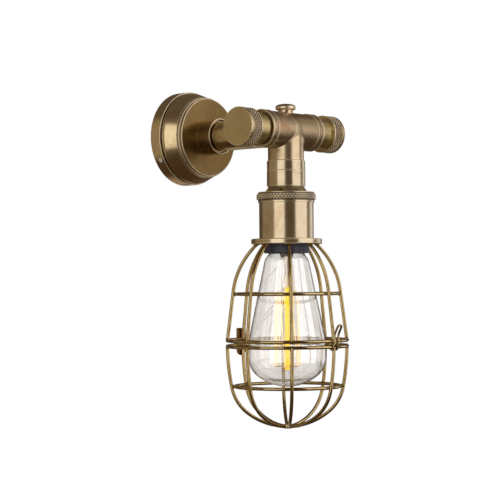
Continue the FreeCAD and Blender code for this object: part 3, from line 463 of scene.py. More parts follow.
BRIGHT, AGED = (0.60, 0.50, 0.335), (0.50, 0.395, 0.24)
CLEAN = {"wear_and_highlight": 0, "grime_and_shade": 0, "marks": 0}
materials = {
    # The rose's front face is painted darker as painted shade; its lower part has a reddish stain.
    "rose": brass("rose_brass", (0.70, 0.555, 0.32), (0.58, 0.43, 0.22), 3.0, 0.19,
                  shaded_front=(29.6, (0.315, 0.205, 0.072), (0.24, 0.15, 0.058)), low=(-20.0, (0.60, 0.31, 0.12))),
    "arm": brass("arm_brass", (0.60, 0.475, 0.235), (0.48, 0.355, 0.17), 17.0, 0.20, marks=0.8, red=0.7),
    "tee": brass("tee_brass", (0.60, 0.47, 0.29), (0.50, 0.37, 0.225), 41.0, 0.22, grime_and_shade=0.8, marks=0.5,
                 red=0.8),
    "neck": brass("neck_brass", (0.62, 0.51, 0.25), (0.53, 0.42, 0.20), 59.0, 0.25, wear_and_highlight=0.6, grime_and_shade=0.8,
                  marks=0.8, red=0.2, patina=0.7),
    "knob": brass("knob_brass", (0.65, 0.53, 0.285), (0.58, 0.46, 0.24), 73.0, 0.22, grime_and_shade=0.9, red=0.3,
                  patina=0.8, brushed=1.0),
    "drop": brass("drop_brass", BRIGHT, AGED, 97.0, 0.16, red=0.4, patina=0.8),
    "cup": brass("cup_brass", BRIGHT, (0.54, 0.43, 0.27), 131.0, 0.14, grime_and_shade=0.9, marks=0.8, red=0.35,
                 patina=0.7),
    # Its knurl crests are paled near white, as wear and painted highlight.
    "knurled": brass("knurled_brass", (0.60, 0.47, 0.28), (0.48, 0.36, 0.20), 151.0, 0.16, grime_and_shade=1.1, marks=0,
                     red=0.3, pale=(0.93, 0.84, 0.66)),
    "wire": brass("wire_brass", (0.52, 0.395, 0.175), (0.38, 0.27, 0.105), 167.0, 0.07, wear_and_highlight=0, grime_and_shade=0.9,
                  marks=0.3),
    "fitting": brass("fitting_brass", (0.34, 0.185, 0.08), (0.22, 0.11, 0.05), 181.0, 0.22, **CLEAN),
    "latch": brass("latch_brass", (0.50, 0.40, 0.20), (0.36, 0.27, 0.12), 211.0, 0.14, red=0.2, **CLEAN),
    "bright": brass("bright_brass", (0.72, 0.56, 0.26), (0.58, 0.43, 0.19), 197.0, 0.2, red=0.1, patina=0.5,
                    **CLEAN),
}


def plain(name, colour, second, scale, rough, metallic=0.0, bump=0.2, shift=0.0):
    """A quiet material with a second tone in clouds and a fine grain."""
    material, tree, shader = new_material(name, {"Metallic": metallic})
    at = millimetres(tree, shift)
    cloud = noise(tree, at, scale, 4.0, 0.6, 0.3)
    grain = noise(tree, at, 3.0, 3.0, 0.6)
    tone = mixed(tree, ranged(tree, cloud, 0.4, 0.62), colour, second)
    dull = plus(tree, plus(tree, times(tree, cloud, 0.12), rough), times(tree, grain, 0.06))
    bumped = add(tree, "Bump", {"Strength": bump, "Distance": 0.00005, "Height": grain}).outputs[0]
    link(tree, shader, Base_Color=tone, Roughness=dull, Normal=bumped)
    return material


materials |= {
    "steel": plain("zinc_plated_steel", (0.60, 0.60, 0.58), (0.50, 0.49, 0.44), 0.2, 0.3, metallic=1.0),
    "grub": plain("grub_steel", (0.72, 0.69, 0.60), (0.60, 0.56, 0.47), 0.6, 0.34, metallic=0.35, shift=5.0),
    "black": plain("black_ring_moulding", (0.022, 0.024, 0.034), (0.034, 0.036, 0.05), 0.12, 0.36, bump=0.3,
                   shift=9.0),
    "holder": plain("holder_moulding", (0.03, 0.03, 0.032), (0.045, 0.043, 0.04), 0.15, 0.5, bump=0.4),
    "terminal": plain("terminal_moulding", (0.80, 0.79, 0.75), (0.72, 0.70, 0.64), 0.2, 0.28, bump=0.15),
    "sleeving": plain("lead_sleeving", (0.34, 0.17, 0.08), (0.26, 0.12, 0.055), 0.4, 0.5, bump=0.4),
    "black_glass": plain("cap_glass", (0.02, 0.02, 0.024), (0.035, 0.03, 0.035), 0.4, 0.12, bump=0.1),
    "cap": plain("cap_brass", (0.72, 0.60, 0.32), (0.62, 0.48, 0.24), 0.25, 0.24, metallic=1.0),
    "lead": plain("lead_wire", (0.34, 0.19, 0.11), (0.24, 0.13, 0.08), 0.5, 0.3, metallic=1.0, bump=0.1),
}


def clear_glass(name, tint, second, specular, coat, ripple, bend):
    """Clear glass with faint upright streaks from blowing. bend is its index of refraction."""
    material, tree, shader = new_material(name, {
        "Transmission Weight": 1.0, "Roughness": 0.0, "IOR": bend, "Specular IOR Level": specular,
        "Coat Weight": coat, "Coat IOR": 1.8, "Coat Roughness": 0.02,
    })
    coordinate = add(tree, "TexCoord").outputs["Object"]
    stretched = vector_math(tree, "MULTIPLY", coordinate, (1000.0, 1000.0, 120.0))
    streaks = noise(tree, stretched, 0.09, 3.0, 0.55, 0.3)
    tone = mixed(tree, ranged(tree, streaks, 0.38, 0.64), tint, second)
    bumped = add(tree, "Bump", {"Strength": ripple, "Distance": 0.0001, "Height": streaks}).outputs[0]
    link(tree, shader, Base_Color=tone, Normal=bumped)
    return material


def glowing(name, colour, deep, strength, scale=0.4):
    """Glowing wire or lit glass: the filament's own glow, and painted glow on the support hooks and on the
    lit glass rod. Its warmth varies along its length.
    """
    material, tree, shader = new_material(name, {"Emission Strength": strength, "Roughness": 0.4})
    cloud = noise(tree, millimetres(tree, 23.0), scale, 2.0, 0.5)
    warm = mixed(tree, ranged(tree, cloud, 0.35, 0.65), colour, deep)
    link(tree, shader, Base_Color=warm, Emission_Color=warm)
    return material


materials |= {
    "glass": clear_glass("bulb_glass_clear", (0.93, 0.905, 0.88), (0.96, 0.94, 0.92), 1.0, 1.0, 0.02, 1.5),
    "mount": clear_glass("bulb_mount_glass", (0.96, 0.90, 0.84), (1.0, 0.97, 0.93), 0.5, 0.0, 0.6, 1.2),
    "filament": glowing("filament_glow", (1.0, 0.70, 0.20), (1.0, 0.58, 0.13), 1.15),
    # The hooks and the rod are no lamps: their glow is painted glow of the filament's light.
    "hook": glowing("hook_wire_painted_glow", (0.62, 0.42, 0.16), (0.50, 0.30, 0.10), 0.25),
    "rod": glowing("lit_glass_rod", (0.96, 0.72, 0.03), (0.95, 0.62, 0.02), 0.8, 0.09),
}


def finish_piece(piece, body, node, material):
    """Dresses a piece, lets it ride on its body and stand for its node."""
    piece.data.materials.clear()
    piece.data.materials.append(materials[material])
    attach(piece, body)
    if node:
        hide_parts(node)


def turned(name, outline, node, material, base=TEE, axis=-Z, sides=128, body="fixture"):
    """Finished lathe piece from an outline of (radius, distance along the axis[, rounding])."""
    lines = rounded(outline)
    r = lines[0][:, 0]
    keep = ~((r < 1e-6) & (np.roll(r, 1) < 1e-6) & (np.roll(r, -1) < 1e-6))
    verts, faces, normals, marks = spin(*(line[keep] for line in lines), base, axis, sides)
    finish_piece(make_object(name, verts, faces, normals, **marks), body, node, material)


# Rose and arm
def holed(piece, outline, base, axis, ways, depth, radius, inner, outer):
    """Bores holes along ways across the axis, from inner to outer, and gives the result its normals again.

    Each corner gets the outline's own normal there, or its face's normal inside a hole."""
    e1, e2, a = [np.array(v) for v in frame_of(axis)]
    cutters = []
    for way in ways:
        start, end = (base + axis * depth + way * r for r in (inner, outer))
        line = [start.lerp(end, i / 4) for i in range(5)]
        cutters.append(tube("hole_stock", line, radius, sides=24, capped=True))
    for cutter in cutters:
        cut = piece.modifiers.new("hole", "BOOLEAN")
        cut.operation = "DIFFERENCE"
        cut.solver = "EXACT"
        cut.object = cutter
    name = piece.name
    points, faces, face_normals = evaluated(piece)
    for stale in cutters + [piece]:
        bpy.data.objects.remove(stale)
    xy, nn, along, edge, crease = outline
    local = points / MM - np.array(base)
    across = np.stack([local @ e1, local @ e2], axis=1)
    r = np.linalg.norm(across, axis=1)
    spot = np.stack([r, local @ a], axis=1)
    ends = np.roll(xy, -1, axis=0) - xy
    size = np.maximum((ends ** 2).sum(1), 1e-12)
    share = np.clip(((spot[:, None, :] - xy[None]) * ends[None]).sum(2) / size[None], 0, 1)
    gap = np.linalg.norm(spot[:, None, :] - (xy[None] + share[:, :, None] * ends[None]), axis=2)
    best = gap.argmin(axis=1)
    part = share[np.arange(len(spot)), best]
    after = (best + 1) % len(xy)

    def carried(values):
        return values[best] * (1 - part) + values[after] * part

    out = (across[:, :1] * e1 + across[:, 1:] * e2) / np.maximum(r, 1e-9)[:, None]
    normals = out * carried(nn[:, 0])[:, None] + a * carried(nn[:, 1])[:, None]
    normals /= np.maximum(np.linalg.norm(normals, axis=1), 1e-9)[:, None]
    fresh = make_object(name, points, faces, edge=carried(edge), crease=carried(crease), along=carried(along))
    corner = []
    for face, own in zip(faces, face_normals):
        for v in face:
            smooth = Vector(normals[v])
            corner.append(tuple(smooth if smooth.dot(own) > 0.82 else own))
    fresh.data.normals_split_custom_set(corner)
    return fresh


def evaluated(piece):
    """Points in metres, faces and face normals of a piece with its modifiers applied."""
    mesh = bpy.data.meshes.new_from_object(piece.evaluated_get(bpy.context.evaluated_depsgraph_get()))
    flat = np.zeros(len(mesh.vertices) * 3)
    mesh.vertices.foreach_get("co", flat)
    faces = [list(f.vertices) for f in mesh.polygons]
    face_normals = [f.normal.copy() for f in mesh.polygons]
    bpy.data.meshes.remove(mesh)
    return flat.reshape(-1, 3), faces, face_normals


def rose():
    """Stepped cover with a conical band and a fine lip, and its three grub screws."""
    screw_depth, hole_r, socket_r, screw_r = 6.2, 2.15, 0.95, 2.05
    outline = rounded([
        (39.1, 0), (40.4, 0, 0.3), (40.4, 11.0, 0.5), (38.4, 11.0, 0.2), (38.4, 12.4, 0.2), (39.3, 12.4, 0.4),
        (38.9, 14.8, 5.0), (34.9, 25.6, 0.15), (34.2, 25.7, 0.1), (34.2, 26.1, 0.1), (34.75, 26.2, 0.2),
        (34.5, 28.2, 0.6), (33.2, 28.2, 0.1), (33.2, 28.7, 0.1), (33.5, 28.7, 0.1), (33.5, ROSE_DEPTH, 0.5),
        (10.6, ROSE_DEPTH), (10.6, 29.2), (32.0, 29.2), (33.0, 25.4), (37.0, 14.6), (38.0, 9.7), (39.1, 9.7),
    ])
    verts, faces, normals, marks = spin(*outline, WALL, -Y, 192)
    shell = make_object("stepped_rose", verts, faces, normals, **marks)
    turns = [math.radians(90 + 120 * i) for i in range(3)]
    ways = [X * math.cos(t) + Z * math.sin(t) for t in turns]
    shell = holed(shell, outline, WALL, -Y, ways, screw_depth, hole_r, 36.0, 43.0)
    finish_piece(shell, "fixture", "wall_rose", "rose")
    for i, way in enumerate(ways):
        turned(f"grub_screw_{i + 1}", [
            (0.0, 35.4), (1.5, 35.4, 0.3), (1.5, 37.6, 0.3), (screw_r, 37.8, 0.1), (screw_r, 40.25, 0.45),
            (socket_r, 40.25, 0.3), (socket_r, 38.6, 0.1), (0.0, 38.6),
        ], "rose_grub_screws", "grub", -Y * screw_depth, way, 48)


rose()
turned("arm_sleeve_collar", [
    (12.75, ROSE_DEPTH), (15.4, ROSE_DEPTH, 0.2), (15.4, 45.3, 0.35), (14.3, 45.3, 0.2), (14.3, 42.7, 0.1),
    (12.75, 42.7),
], "arm_collar", "arm", WALL, -Y)
turned("arm_pipe", [
    (10.9, 23.5), (12.7, 23.5, 0.3), (12.7, 109.8), (10.9, 109.8),
], "arm_tube", "arm", WALL, -Y)


# Cross bar
def tee_distance(p):
    """Distances to the bar, to the branch, and to both in one, blended over a small width."""
    blend = 0.9
    bar = np.hypot(p[:, 1], p[:, 2]) - BAR_R
    branch = np.where(p[:, 2] < 0, np.hypot(p[:, 0], p[:, 1]), np.linalg.norm(p, axis=1)) - BRANCH_R
    h = np.clip(0.5 + 0.5 * (branch - bar) / blend, 0, 1)
    return bar, branch, branch * (1 - h) + bar * h - blend * h * (1 - h)


def tee_gradient(p):
    step = 1e-3
    g = np.zeros_like(p)
    for axis in range(3):
        d = np.zeros(3)
        d[axis] = step
        g[:, axis] = (tee_distance(p + d)[2] - tee_distance(p - d)[2]) / (2 * step)
    return g


def tee_core():
    """Cast middle of the tee: bar and branch flow into each other in a small fillet."""
    half_length, stock_end, voxel = 27, 23.6, 0.55
    free_half, free_end = 26.4, 22.9

    def can(radius, low, high, axis):
        xy = np.array([(0.0, low), (radius, low), (radius, high), (0.0, high)])
        nn = np.array([(0, -1), (1, 0), (1, 0), (0, 1)], float)
        none = np.zeros(len(xy))
        return spin(xy, nn, none, none, none, Vector((0, 0, 0)), axis, 96, False)[:2]

    verts, faces = [], []
    for more, sides in (can(BAR_R, -half_length, half_length, X), can(BRANCH_R, 0, stock_end, -Z)):
        faces.extend([[i + len(verts) for i in f] for f in sides])
        verts.extend(more)
    rough = make_object("tee_stock", verts, faces)
    remesh = rough.modifiers.new("remesh", "REMESH")
    remesh.mode = "VOXEL"
    remesh.voxel_size = voxel * MM
    points, faces, _ = evaluated(rough)
    bpy.data.objects.remove(rough)
    p = points / MM
    free = (np.abs(p[:, 0]) < free_half) & (p[:, 2] > -free_end)
    for _ in range(5):
        g = tee_gradient(p)
        size = np.maximum((g ** 2).sum(1), 1e-6)
        move = (tee_distance(p)[2] / size)[:, None] * g
        p = np.where(free[:, None], p - np.clip(move, -0.5, 0.5), p)
    g = tee_gradient(p)
    normals = g / np.maximum(np.linalg.norm(g, axis=1), 1e-9)[:, None]
    bar, branch, _ = tee_distance(p)
    # The crease distance is least along the seam of bar and branch, which the material darkens as grime and
    # painted shade.
    return make_object("cast_tee", (p + np.array(TEE)) * MM, faces, normals,
                       crease=np.hypot(bar, branch) + 0.2, along=p[:, 0] * 0.3)


finish_piece(tee_core(), "fixture", "tee_body", "tee")
for word, axis in (("left", -X), ("right", X)):
    turned("tee_rim_" + word, [
        (13.3, 24.0), (15.0, 24.0), (BAR_R, 24.5, 0.05), (RIM_R, 24.5, 0.35), (RIM_R, 25.8, 0.3),
        (15.35, 25.9, 0.15), (15.35, 30.6, 0.15), (RIM_R, 30.7, 0.3), (RIM_R, 32.0, 0.35), (14.6, 32.0, 0.2),
        (14.6, 29.8, 0.1), (13.3, 29.8, 0.1),
    ], "tee_body", "tee", axis=axis)
    turned("neck_tube_" + word, [
        (11.0, 21.0), (13.0, 21.0), (13.0, 56.0, 0.2), (11.0, 56.0),
    ], "neck_" + word, "neck", axis=axis)
    turned("knob_cap_" + word, [
        (13.05, 45.8), (RIM_R, 45.8, 0.35), (RIM_R, KNURL_START, 0.15), (15.0, 46.75, 0.05),
        (15.0, 55.85, 0.05), (RIM_R, KNURL_END, 0.2), (RIM_R, KNOB_END, 0.35), (0, KNOB_END), (0, 56.3),
        (13.05, 56.3),
    ], "knob_" + word, "knob", axis=axis, body=word + "_knob")
    finish_piece(knurl("knob_knurl_" + word, RIM_R - 0.01, KNURL_START, KNURL_END, 38, 0.385, TEE, axis),
                 word + "_knob", "knob_" + word, "knurled")
turned("branch_foot", [
    (12.6, 21.8), (BRANCH_R, 21.8, 0.0), (BRANCH_R + 0.005, 22.2, 0.0), (BRANCH_R + 0.005, BRANCH_END, 0.4),
    (NIPPLE_BORE, BRANCH_END), (NIPPLE_BORE, 22.5), (12.6, 22.5),
], "tee_body", "tee")
turned("screw_boss", [
    (3.05, 11.0), (6.2, 11.0), (6.2, BOSS_TOP, 0.3), (3.05, BOSS_TOP),
], "tee_body", "tee", axis=Z, sides=96)


def domed_screw():
    """Low domed head, a superellipse from rim to top, with no slot because the photographed head is plain."""
    head_r, rim_height, rise, power, steps = 8.4, 19.3, 2.8, 2.3, 20
    outline = [(0.0, 22.7)]
    for i in range(1, steps + 1):
        t = i / steps * 0.985
        outline.append((head_r * t, rim_height + rise * (1 - t ** power) ** (1 / power), 0.0))
    outline += [(head_r, rim_height, 0.3), (head_r, BOSS_TOP, 1.2), (3.0, BOSS_TOP), (3.0, 10.1, 0.3),
                (0.0, 10.1)]
    turned("top_screw_head", outline, "top_screw", "tee", axis=Z, sides=112)


domed_screw()

# Band, sleeve, cone, knurled ring, cup, flange and black ring
turned("turned_band", [
    (NIPPLE_BORE, BRANCH_END), (15.8, BRANCH_END, 0.5), (15.8, BAND_END, 0.4), (13.8, BAND_END), (13.8, 27.0),
    (NIPPLE_BORE, 27.0),
], "branch_band", "drop")
turned("plain_sleeve", [
    (13.9, BAND_END), (15.9, BAND_END, 0.4), (15.9, SLEEVE_END, 0.4), (NIPPLE_BORE, SLEEVE_END),
    (NIPPLE_BORE, 44.3), (13.9, 44.3),
], "drop_sleeve", "drop")
turned("holder_cone", [
    (NIPPLE_BORE, SLEEVE_END), (14.8, SLEEVE_END, 0.15), (14.8, 46.9, 0.3), (17.7, 51.0, 0.2),
    (17.7, CUP_TOP), (21.3, CUP_TOP), (21.3, 54.7), (NIPPLE_BORE, 54.7),
], "holder_cap", "cup")
turned("grip_ring", [
    (17.8, 51.0, 0.15), (23.3, 51.0, 0.45), (23.3, 52.1, 0.25), (23.85, 52.6, 0.1), (23.85, 57.2, 0.1),
    (23.3, 57.7, 0.25), (23.3, 59.8, 0.4), (22.6, 59.8), (22.6, CUP_TOP), (17.8, CUP_TOP),
], "knurled_ring", "cup", sides=160)
finish_piece(knurl("grip_ring_knurl", 24.6, 52.55, 57.25, 56, 0.30, TEE, -Z), "fixture", "knurled_ring",
             "knurled")
turned("spun_cup", [
    (21.4, CUP_TOP), (22.5, CUP_TOP), (22.5, CUP_END, 0.4), (THROAT, CUP_END), (THROAT, 88.3), (21.4, 88.3),
], "holder_cup", "cup", sides=160)
turned("cage_flange_ring", [
    (THROAT, CUP_END), (29.2, CUP_END, 0.9), (29.2, FLANGE, 0.9), (THROAT, FLANGE),
], "cage_flange", "cup", sides=160)
turned("black_clamp_ring", [
    (THROAT, FLANGE), (18.7, FLANGE, 0.2), (18.7, 94.6, 0.15), (18.35, 94.9, 0.1), (18.35, 95.5, 0.1),
    (18.7, 95.8, 0.15), (18.7, 101.4, 0.8), (16.2, 101.4, 0.3), (16.2, 100.6), (THROAT, 100.6),
], "shade_ring", "black")


# Cage
def lamp(radius, depth, turn):
    """A point about the lamp's axis, at a depth below the flange's underside."""
    return Vector((radius * math.cos(turn), -REACH + radius * math.sin(turn), -FLANGE - depth))


def flat_arc(start, heading, end, count):
    """Points (radius, depth) on the arc from start along heading to end, and its heading there."""
    chord = end - start
    along, h = chord.normalized(), Vector(heading).normalized()
    angle = h.angle(along)
    side = (h - along * h.dot(along)).normalized()
    leave = along * (2 * h.dot(along)) - h
    radius = chord.length / 2 / math.sin(angle)
    centre = start + chord / 2 - side * radius * math.cos(angle)
    first, last = start - centre, end - centre
    return [centre + first.slerp(last, i / count) * radius for i in range(1, count + 1)], leave


RIB_SHOULDER = Vector((44.2, 38.5))


def rib_line():
    """(radius, depth) along a rib of the fixed cage, from its lower ring up into the flange."""
    low, top = Vector((BIG_RING, CAGE_RING_DEPTH)), Vector((24.4, 0.0))
    line = [low.lerp(RIB_SHOULDER, i / 12) for i in range(13)]
    arc, heading = flat_arc(RIB_SHOULDER, RIB_SHOULDER - low, top, 26)
    return line + arc + [top + heading * 0.6]


def basket_line():
    """(radius, depth) along a rib of the basket, from the apex up to its top ring."""
    apex, haunch = Vector((0.0, 150.2)), Vector((33.25, 138.75))
    shoulder, top = Vector((45.95, 118.0)), Vector((BIG_RING, BASKET_RING_DEPTH))
    a, heading = flat_arc(apex, (1, 0), haunch, 16)
    b, heading = flat_arc(haunch, heading, shoulder, 16)
    c, heading = flat_arc(shoulder, heading, top, 20)
    return [apex] + a + b + c


def wobble(i, n, seed, size):
    """Slow unevenness of a hand-bent wire at point i of n."""
    rng = np.random.default_rng(seed)
    phase, amount = rng.uniform(0, 6.28, 4), rng.uniform(0.4, 1.0, 4)
    t = i / max(n - 1, 1)
    return size * sum(amount[k] * math.sin(phase[k] + (k + 1) * math.pi * t) for k in range(4)) / 2.5


def rib_wire(name, line, turn, seed, body, node):
    """Upright wire on a line of (radius, depth), uneven between its ends."""
    most_off, most_sway, least_r = 0.10, 0.16, 6.0
    n = len(line)
    points = []
    for i, p in enumerate(line):
        ends = max(0.0, math.sin(math.pi * i / (n - 1))) ** 0.5
        off = wobble(i, n, seed, most_off) * ends
        sway = wobble(i, n, seed + 100, most_sway) * ends / max(p.x, least_r)
        points.append(lamp(max(p.x + off, 0), p.y, turn + sway))
    finish_piece(tube(name, points, WIRE), body, node, "wire")


def ring_wire(name, radius, depth, phase, body, node):
    """Ring of wire, waved up and down by less than a tenth of a millimetre."""
    count = 176
    turns = [2 * math.pi * i / count for i in range(count)]
    points = [lamp(radius, depth + 0.08 * math.sin(2 * t + phase), t) for t in turns]
    finish_piece(tube(name, points, WIRE, closed=True), body, node, "wire")


def line_radius(line, depth):
    """Radius at which a line of (radius, depth) passes a depth."""
    for a, b in zip(line, line[1:]):
        if min(a.y, b.y) <= depth <= max(a.y, b.y) and abs(a.y - b.y) > 1e-9:
            return a.x + (b.x - a.x) * (depth - a.y) / (b.y - a.y)
    raise ValueError(depth)


upper_line, lower_line = rib_line(), basket_line()
lean = math.atan2(BIG_RING - RIB_SHOULDER.x, CAGE_RING_DEPTH - RIB_SHOULDER.y)
upper_ring = RIB_SHOULDER.x + (UPPER_DEPTH - RIB_SHOULDER.y) * math.tan(lean) - JOINED / math.cos(lean)
lower_ring = line_radius(lower_line, LOWER_DEPTH) - JOINED
rib_turns = [2 * math.pi * i / RIBS for i in range(RIBS)]
for i, turn in enumerate(rib_turns):
    rib_wire(f"cage_wire_{i + 1}", upper_line, turn, 10 + i, "fixture", f"cage_rib_{i + 1}")
    rib_wire(f"basket_wire_{i + 1}", lower_line, turn, 40 + i, "basket", f"basket_rib_{i + 1}")
ring_wire("cage_wire_upper_ring", upper_ring, UPPER_DEPTH, 1.0, "fixture", "cage_upper_ring")
ring_wire("cage_wire_lower_ring", BIG_RING, CAGE_RING_DEPTH, 2.0, "fixture", "cage_lower_ring")
ring_wire("basket_wire_top_ring", BIG_RING, BASKET_RING_DEPTH, 3.0, "basket", "basket_top_ring")
ring_wire("basket_wire_lower_ring", lower_ring, LOWER_DEPTH, 4.0, "basket", "basket_lower_ring")


def beads(name, body, places):
    """Braze at the crossings with the ribs: (radius, depth, half sizes across, round and along)."""
    found = []
    for radius, depth, across, around, along in places:
        for i, turn in enumerate(rib_turns):
            out = Vector((math.cos(turn), math.sin(turn), 0))
            flat = Vector((-math.sin(turn), math.cos(turn), 0))
            grow = 1 + 0.12 * math.sin(3.1 * i + radius)
            found.append((lamp(radius, depth, turn), out * across, flat * around * grow, Z * along * grow))
    finish_piece(blob(name, found), body, None, "wire")


beads("cage_braze", "fixture", [
    (upper_ring + 1.5, UPPER_DEPTH, 1.1, 1.75, 1.75), (49.3, 78.6, 1.5, 2.0, 2.1),
    (24.55, 0.35, 2.1, 2.1, 0.9),
])
beads("basket_braze", "basket", [
    (lower_ring + 1.5, LOWER_DEPTH, 1.1, 1.75, 1.75), (49.3, 84.5, 1.5, 2.0, 2.1),
])


def latch():
    """Bent wire clip: two kinked legs that end in eyes round the basket's top ring, and a thumb loop."""
    half, wire, eye_wire, eye_r, steps = 2.47, 0.95, 0.75, 2.25, 24
    sill = math.sqrt(BIG_RING ** 2 - half ** 2)

    def spot(side, out, height):
        return Vector((side * half, -REACH - sill - out, -FLANGE - BASKET_RING_DEPTH + height))

    legs = []
    for word, side in (("left", -1), ("right", 1)):
        corners = [(eye_r, 0.0), (3.55, 3.2, 3.0), (2.6, 7.4, 3.0), (3.0, 10.4, 6.0), (5.6, 15.4)]
        legs.append([spot(side, p.x, p.y) for p in smooth_line(corners)])
        turns = [a / steps * 2 * math.pi for a in range(steps)]
        eye = [spot(side, eye_r * math.cos(t), eye_r * math.sin(t)) for t in turns]
        finish_piece(tube("latch_eye_" + word, eye, eye_wire, closed=True, sides=14), "latch", "latch_clip",
                     "latch")
    heading = (legs[0][-1] - legs[0][-2]).normalized()
    middle = (legs[0][-1] + legs[1][-1]) / 2
    bend = [middle + (heading * math.sin(t) - X * math.cos(t)) * half
            for t in (math.pi * k / 12 for k in range(1, 12))]
    line = legs[0] + bend + legs[1][::-1]
    swell = [0.75 + 0.25 * min(1.0, min(k, len(line) - 1 - k) / 12) for k in range(len(line))]
    finish_piece(tube("latch_wire", line, wire, sides=16, swell=swell), "latch", "latch_clip",
                 "latch")


# Bulb
def bulb_side(inset):
    """Outline (radius, depth below the bar) of the pear-shaped bulb, from its lowest point to the neck."""
    low, haunch = Vector((0.0, 211.4 - inset)), Vector((25.3 - inset, 202.2 - inset / 2))
    side = Vector((32.2 - inset, 187.5))
    a, heading = flat_arc(low, (1, 0), haunch, 14)
    b, heading = flat_arc(haunch, heading, side, 12)
    neck = smooth_line([side, (side.x, 174.1, 120.0), (18.1 - inset, 106.6, 9.0), (12.6 - inset, 98.8, 4.0),
                        (12.6 - inset, 92.8)])
    return [low] + a + b + neck[1:]


def smooth_line(corners):
    """Open outline with its roundings as plain points."""
    pts = [Vector((c[0], c[1])) for c in corners]
    out = [pts[0]]
    for i in range(1, len(pts) - 1):
        back, onward = pts[i - 1] - pts[i], pts[i + 1] - pts[i]
        half = back.angle(onward) / 2
        reach = min(corners[i][2] / math.tan(half), 0.48 * min(back.length, onward.length))
        r = reach * math.tan(half)
        back.normalize()
        onward.normalize()
        centre = pts[i] + (back + onward).normalized() * (r / math.sin(half))
        a, b = pts[i] + back * reach - centre, pts[i] + onward * reach - centre
        out.extend(centre + a.slerp(b, k / 14) * r for k in range(15))
    out.append(pts[-1])
    return out


def shell_mesh(name, outer, inner):
    """Blown shell between two outlines that run from the pole to the mouth."""
    line = outer + inner[::-1]
    xy = np.array([tuple(p) for p in line])
    step = np.gradient(xy, axis=0)
    step /= np.maximum(np.linalg.norm(step, axis=1), 1e-9)[:, None]
    nn = np.stack([-step[:, 1], step[:, 0]], axis=1)
    if nn[len(outer) // 2][0] < 0:
        nn = -nn
    none = np.zeros(len(xy))
    verts, faces, normals, _ = spin(xy, nn, none, none, none, TEE, -Z, 144, False)
    p, q, r = [verts[i] for i in faces[len(faces) // 4][:3]]
    if np.cross(q - p, r - q) @ normals[faces[len(faces) // 4][0]] < 0:
        faces = [f[::-1] for f in faces]
    return make_object(name, verts, faces, normals)


def bulb():
    """Clear glass with its stem, the lit rod in its middle and two lead wires in the neck."""
    wall = 0.9
    finish_piece(shell_mesh("blown_bulb", bulb_side(0.0), bulb_side(wall)), "fixture", "bulb_glass",
                 "glass")
    turned("glass_stem", [
        (0, 94.4), (11.6, 94.4, 0.3), (11.6, 95.2, 0.3), (6.0, 101.5, 4.0), (3.8, 107.9, 9.0),
        (3.8, 129.9, 1.6), (0, 129.9),
    ], "bulb_stem", "mount", sides=48)
    # The rod glows with painted glow of the filament's light.
    turned("glass_rod", [
        (0, 129.0), (1.9, 129.0, 0.3), (1.9, 197.9, 0.6), (0, 197.9),
    ], "bulb_stem", "rod", sides=32)
    for word, side in (("left", -1), ("right", 1)):
        points = [TEE + image_right * side * (1.1 + 0.9 * math.sin(0.16 * k) ** 2) - Z * (96 + k)
                  for k in range(33)]
        finish_piece(tube("lead_wire_" + word, points, 0.28, sides=10), "fixture", None,
                     "lead")


latch()
bulb()

# The CAD solids that keep their own shape
for material, names in {
    "steel": ("wall_plate", "arm_lock_washer", "arm_lock_nut", "branch_nipple", "nipple_nuts"),
    "terminal": ("terminal_block",),
    "bright": ("earth_screw", "screw_shell", "centre_contact", "basket_apex"),
    "sleeving": ("inner_leads",),
    "holder": ("lampholder_body",),
    "cap": ("bulb_cap", "bulb_contact"),
    "black_glass": ("bulb_insulator",),
    "filament": ("bulb_filament",),
    # The support hooks carry painted glow.
    "hook": ("bulb_supports",),
    "fitting": ("hinge_upper_leaf", "hinge_lower_leaf", "hinge_pin"),
}.items():
    for node in names:
        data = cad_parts[node].data
        data.materials.clear()
        data.materials.append(materials[material])


# Studio
def lamp_panel(name, direction, distance, width, height, radiance, colour=(1, 1, 1)):
    """Soft panel seen from the object in a direction; its light in radiance units."""
    aim = Vector((0, -0.08, -0.06))
    data = bpy.data.lights.new(name, "AREA")
    data.shape = "RECTANGLE"
    data.size, data.size_y = width, height
    data.color = colour
    data.energy = radiance * math.pi * width * height
    panel = bpy.data.objects.new(name, data)
    way = Vector(direction).normalized()
    panel.location = aim + way * distance
    panel.rotation_mode = "QUATERNION"
    panel.rotation_quaternion = (-way).to_track_quat("-Z", "Y")
    panel.visible_camera = False
    bpy.context.scene.collection.objects.link(panel)
    return panel


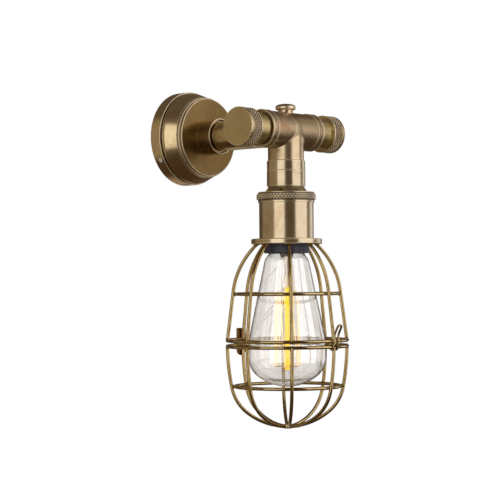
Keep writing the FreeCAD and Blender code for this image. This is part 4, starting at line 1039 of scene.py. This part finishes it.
def studio():
    """Two softboxes, a panel overhead, and a brown room with paler regions that only shiny faces see.

    A heading is an angle to the right of the direction towards the camera. Other rays see even white."""
    lamp_panel("left_softbox", (-0.975, -0.200, 0.096), 2.2, 1.82, 2.34, 1.25)
    lamp_panel("right_softbox", (0.300, -0.950, 0.19), 1.2, 1.27, 1.75, 1.27, (1.0, 1.0, 1.05))
    overhead = lamp_panel("top_softbox", (-0.2, -0.3, 1.0), 1.4, 0.8, 0.8, 0.7)
    overhead.visible_glossy = False
    world = bpy.data.worlds.new("studio")
    bpy.context.scene.world = world
    world.use_nodes = True
    tree = world.node_tree
    tree.nodes.clear()
    way = add(tree, "TexCoord").outputs["Generated"]

    def heading(degrees):
        turn = math.radians(degrees)
        return towards_camera * math.cos(turn) + image_right * math.sin(turn)

    colour = (0.125, 0.089, 0.060)
    for middle, low, high, tone in (
        (Z, 0.25, 0.75, (0.125, 0.095, 0.070)),
        (-Z, 0.15, 0.5, (0.085, 0.058, 0.036)),
        (heading(-166) * 0.87 - Z * 0.50, 0.93, 0.985, (0.45, 0.39, 0.33)),
        (heading(-88), 0.76, 0.88, (0.36, 0.295, 0.21)),
        (heading(114) * 0.94 + Z * 0.34, 0.82, 0.94, (0.33, 0.28, 0.235)),
        (heading(131), 0.955, 0.985, (1.0, 1.02, 1.06)),
    ):
        near = add(tree, "VectorMath", {0: way, 1: tuple(middle)}, operation="DOT_PRODUCT")
        colour = mixed(tree, ranged(tree, near.outputs["Value"], low, high), colour, tone)
    room = add(tree, "Background", {"Color": colour, "Strength": 1.0})
    even = add(tree, "Background", {"Color": (1, 1, 1, 1), "Strength": 0.55})
    white = add(tree, "Background", {"Color": (1, 1, 1, 1), "Strength": 1.0})
    rays = add(tree, "LightPath")
    shown = add(tree, "Math", {0: rays.outputs["Is Camera Ray"], 1: rays.outputs["Is Transmission Ray"]},
                operation="MAXIMUM").outputs[0]
    first = add(tree, "MixShader", {0: rays.outputs["Is Glossy Ray"], 1: even.outputs[0], 2: room.outputs[0]})
    last = add(tree, "MixShader", {0: shown, 1: first.outputs[0], 2: white.outputs[0]})
    add(tree, "OutputWorld", {0: last.outputs[0]})


studio()


def floor():
    """Round floor under the lamp, in metres, so that its far edge is a level horizon."""
    reach, drop, count = 6.2, -1.5, 48
    verts, faces = [], []
    for i in range(count + 1):
        for j in range(count + 1):
            u, v = 2 * i / count - 1, 2 * j / count - 1
            verts.append((reach * u * math.sqrt(1 - v * v / 2), reach * v * math.sqrt(1 - u * u / 2), drop))
    for i in range(count):
        for j in range(count):
            a = i * (count + 1) + j
            faces.append([a, a + count + 1, a + count + 2, a + 1])
    piece = make_object("studio_floor", verts, faces)
    piece.data.materials.append(plain("floor_paint", (0.88, 0.88, 0.87), (0.85, 0.85, 0.84), 0.004, 0.6))
    piece.visible_glossy = False


floor()

bpy.context.scene.view_settings.view_transform = "Standard"
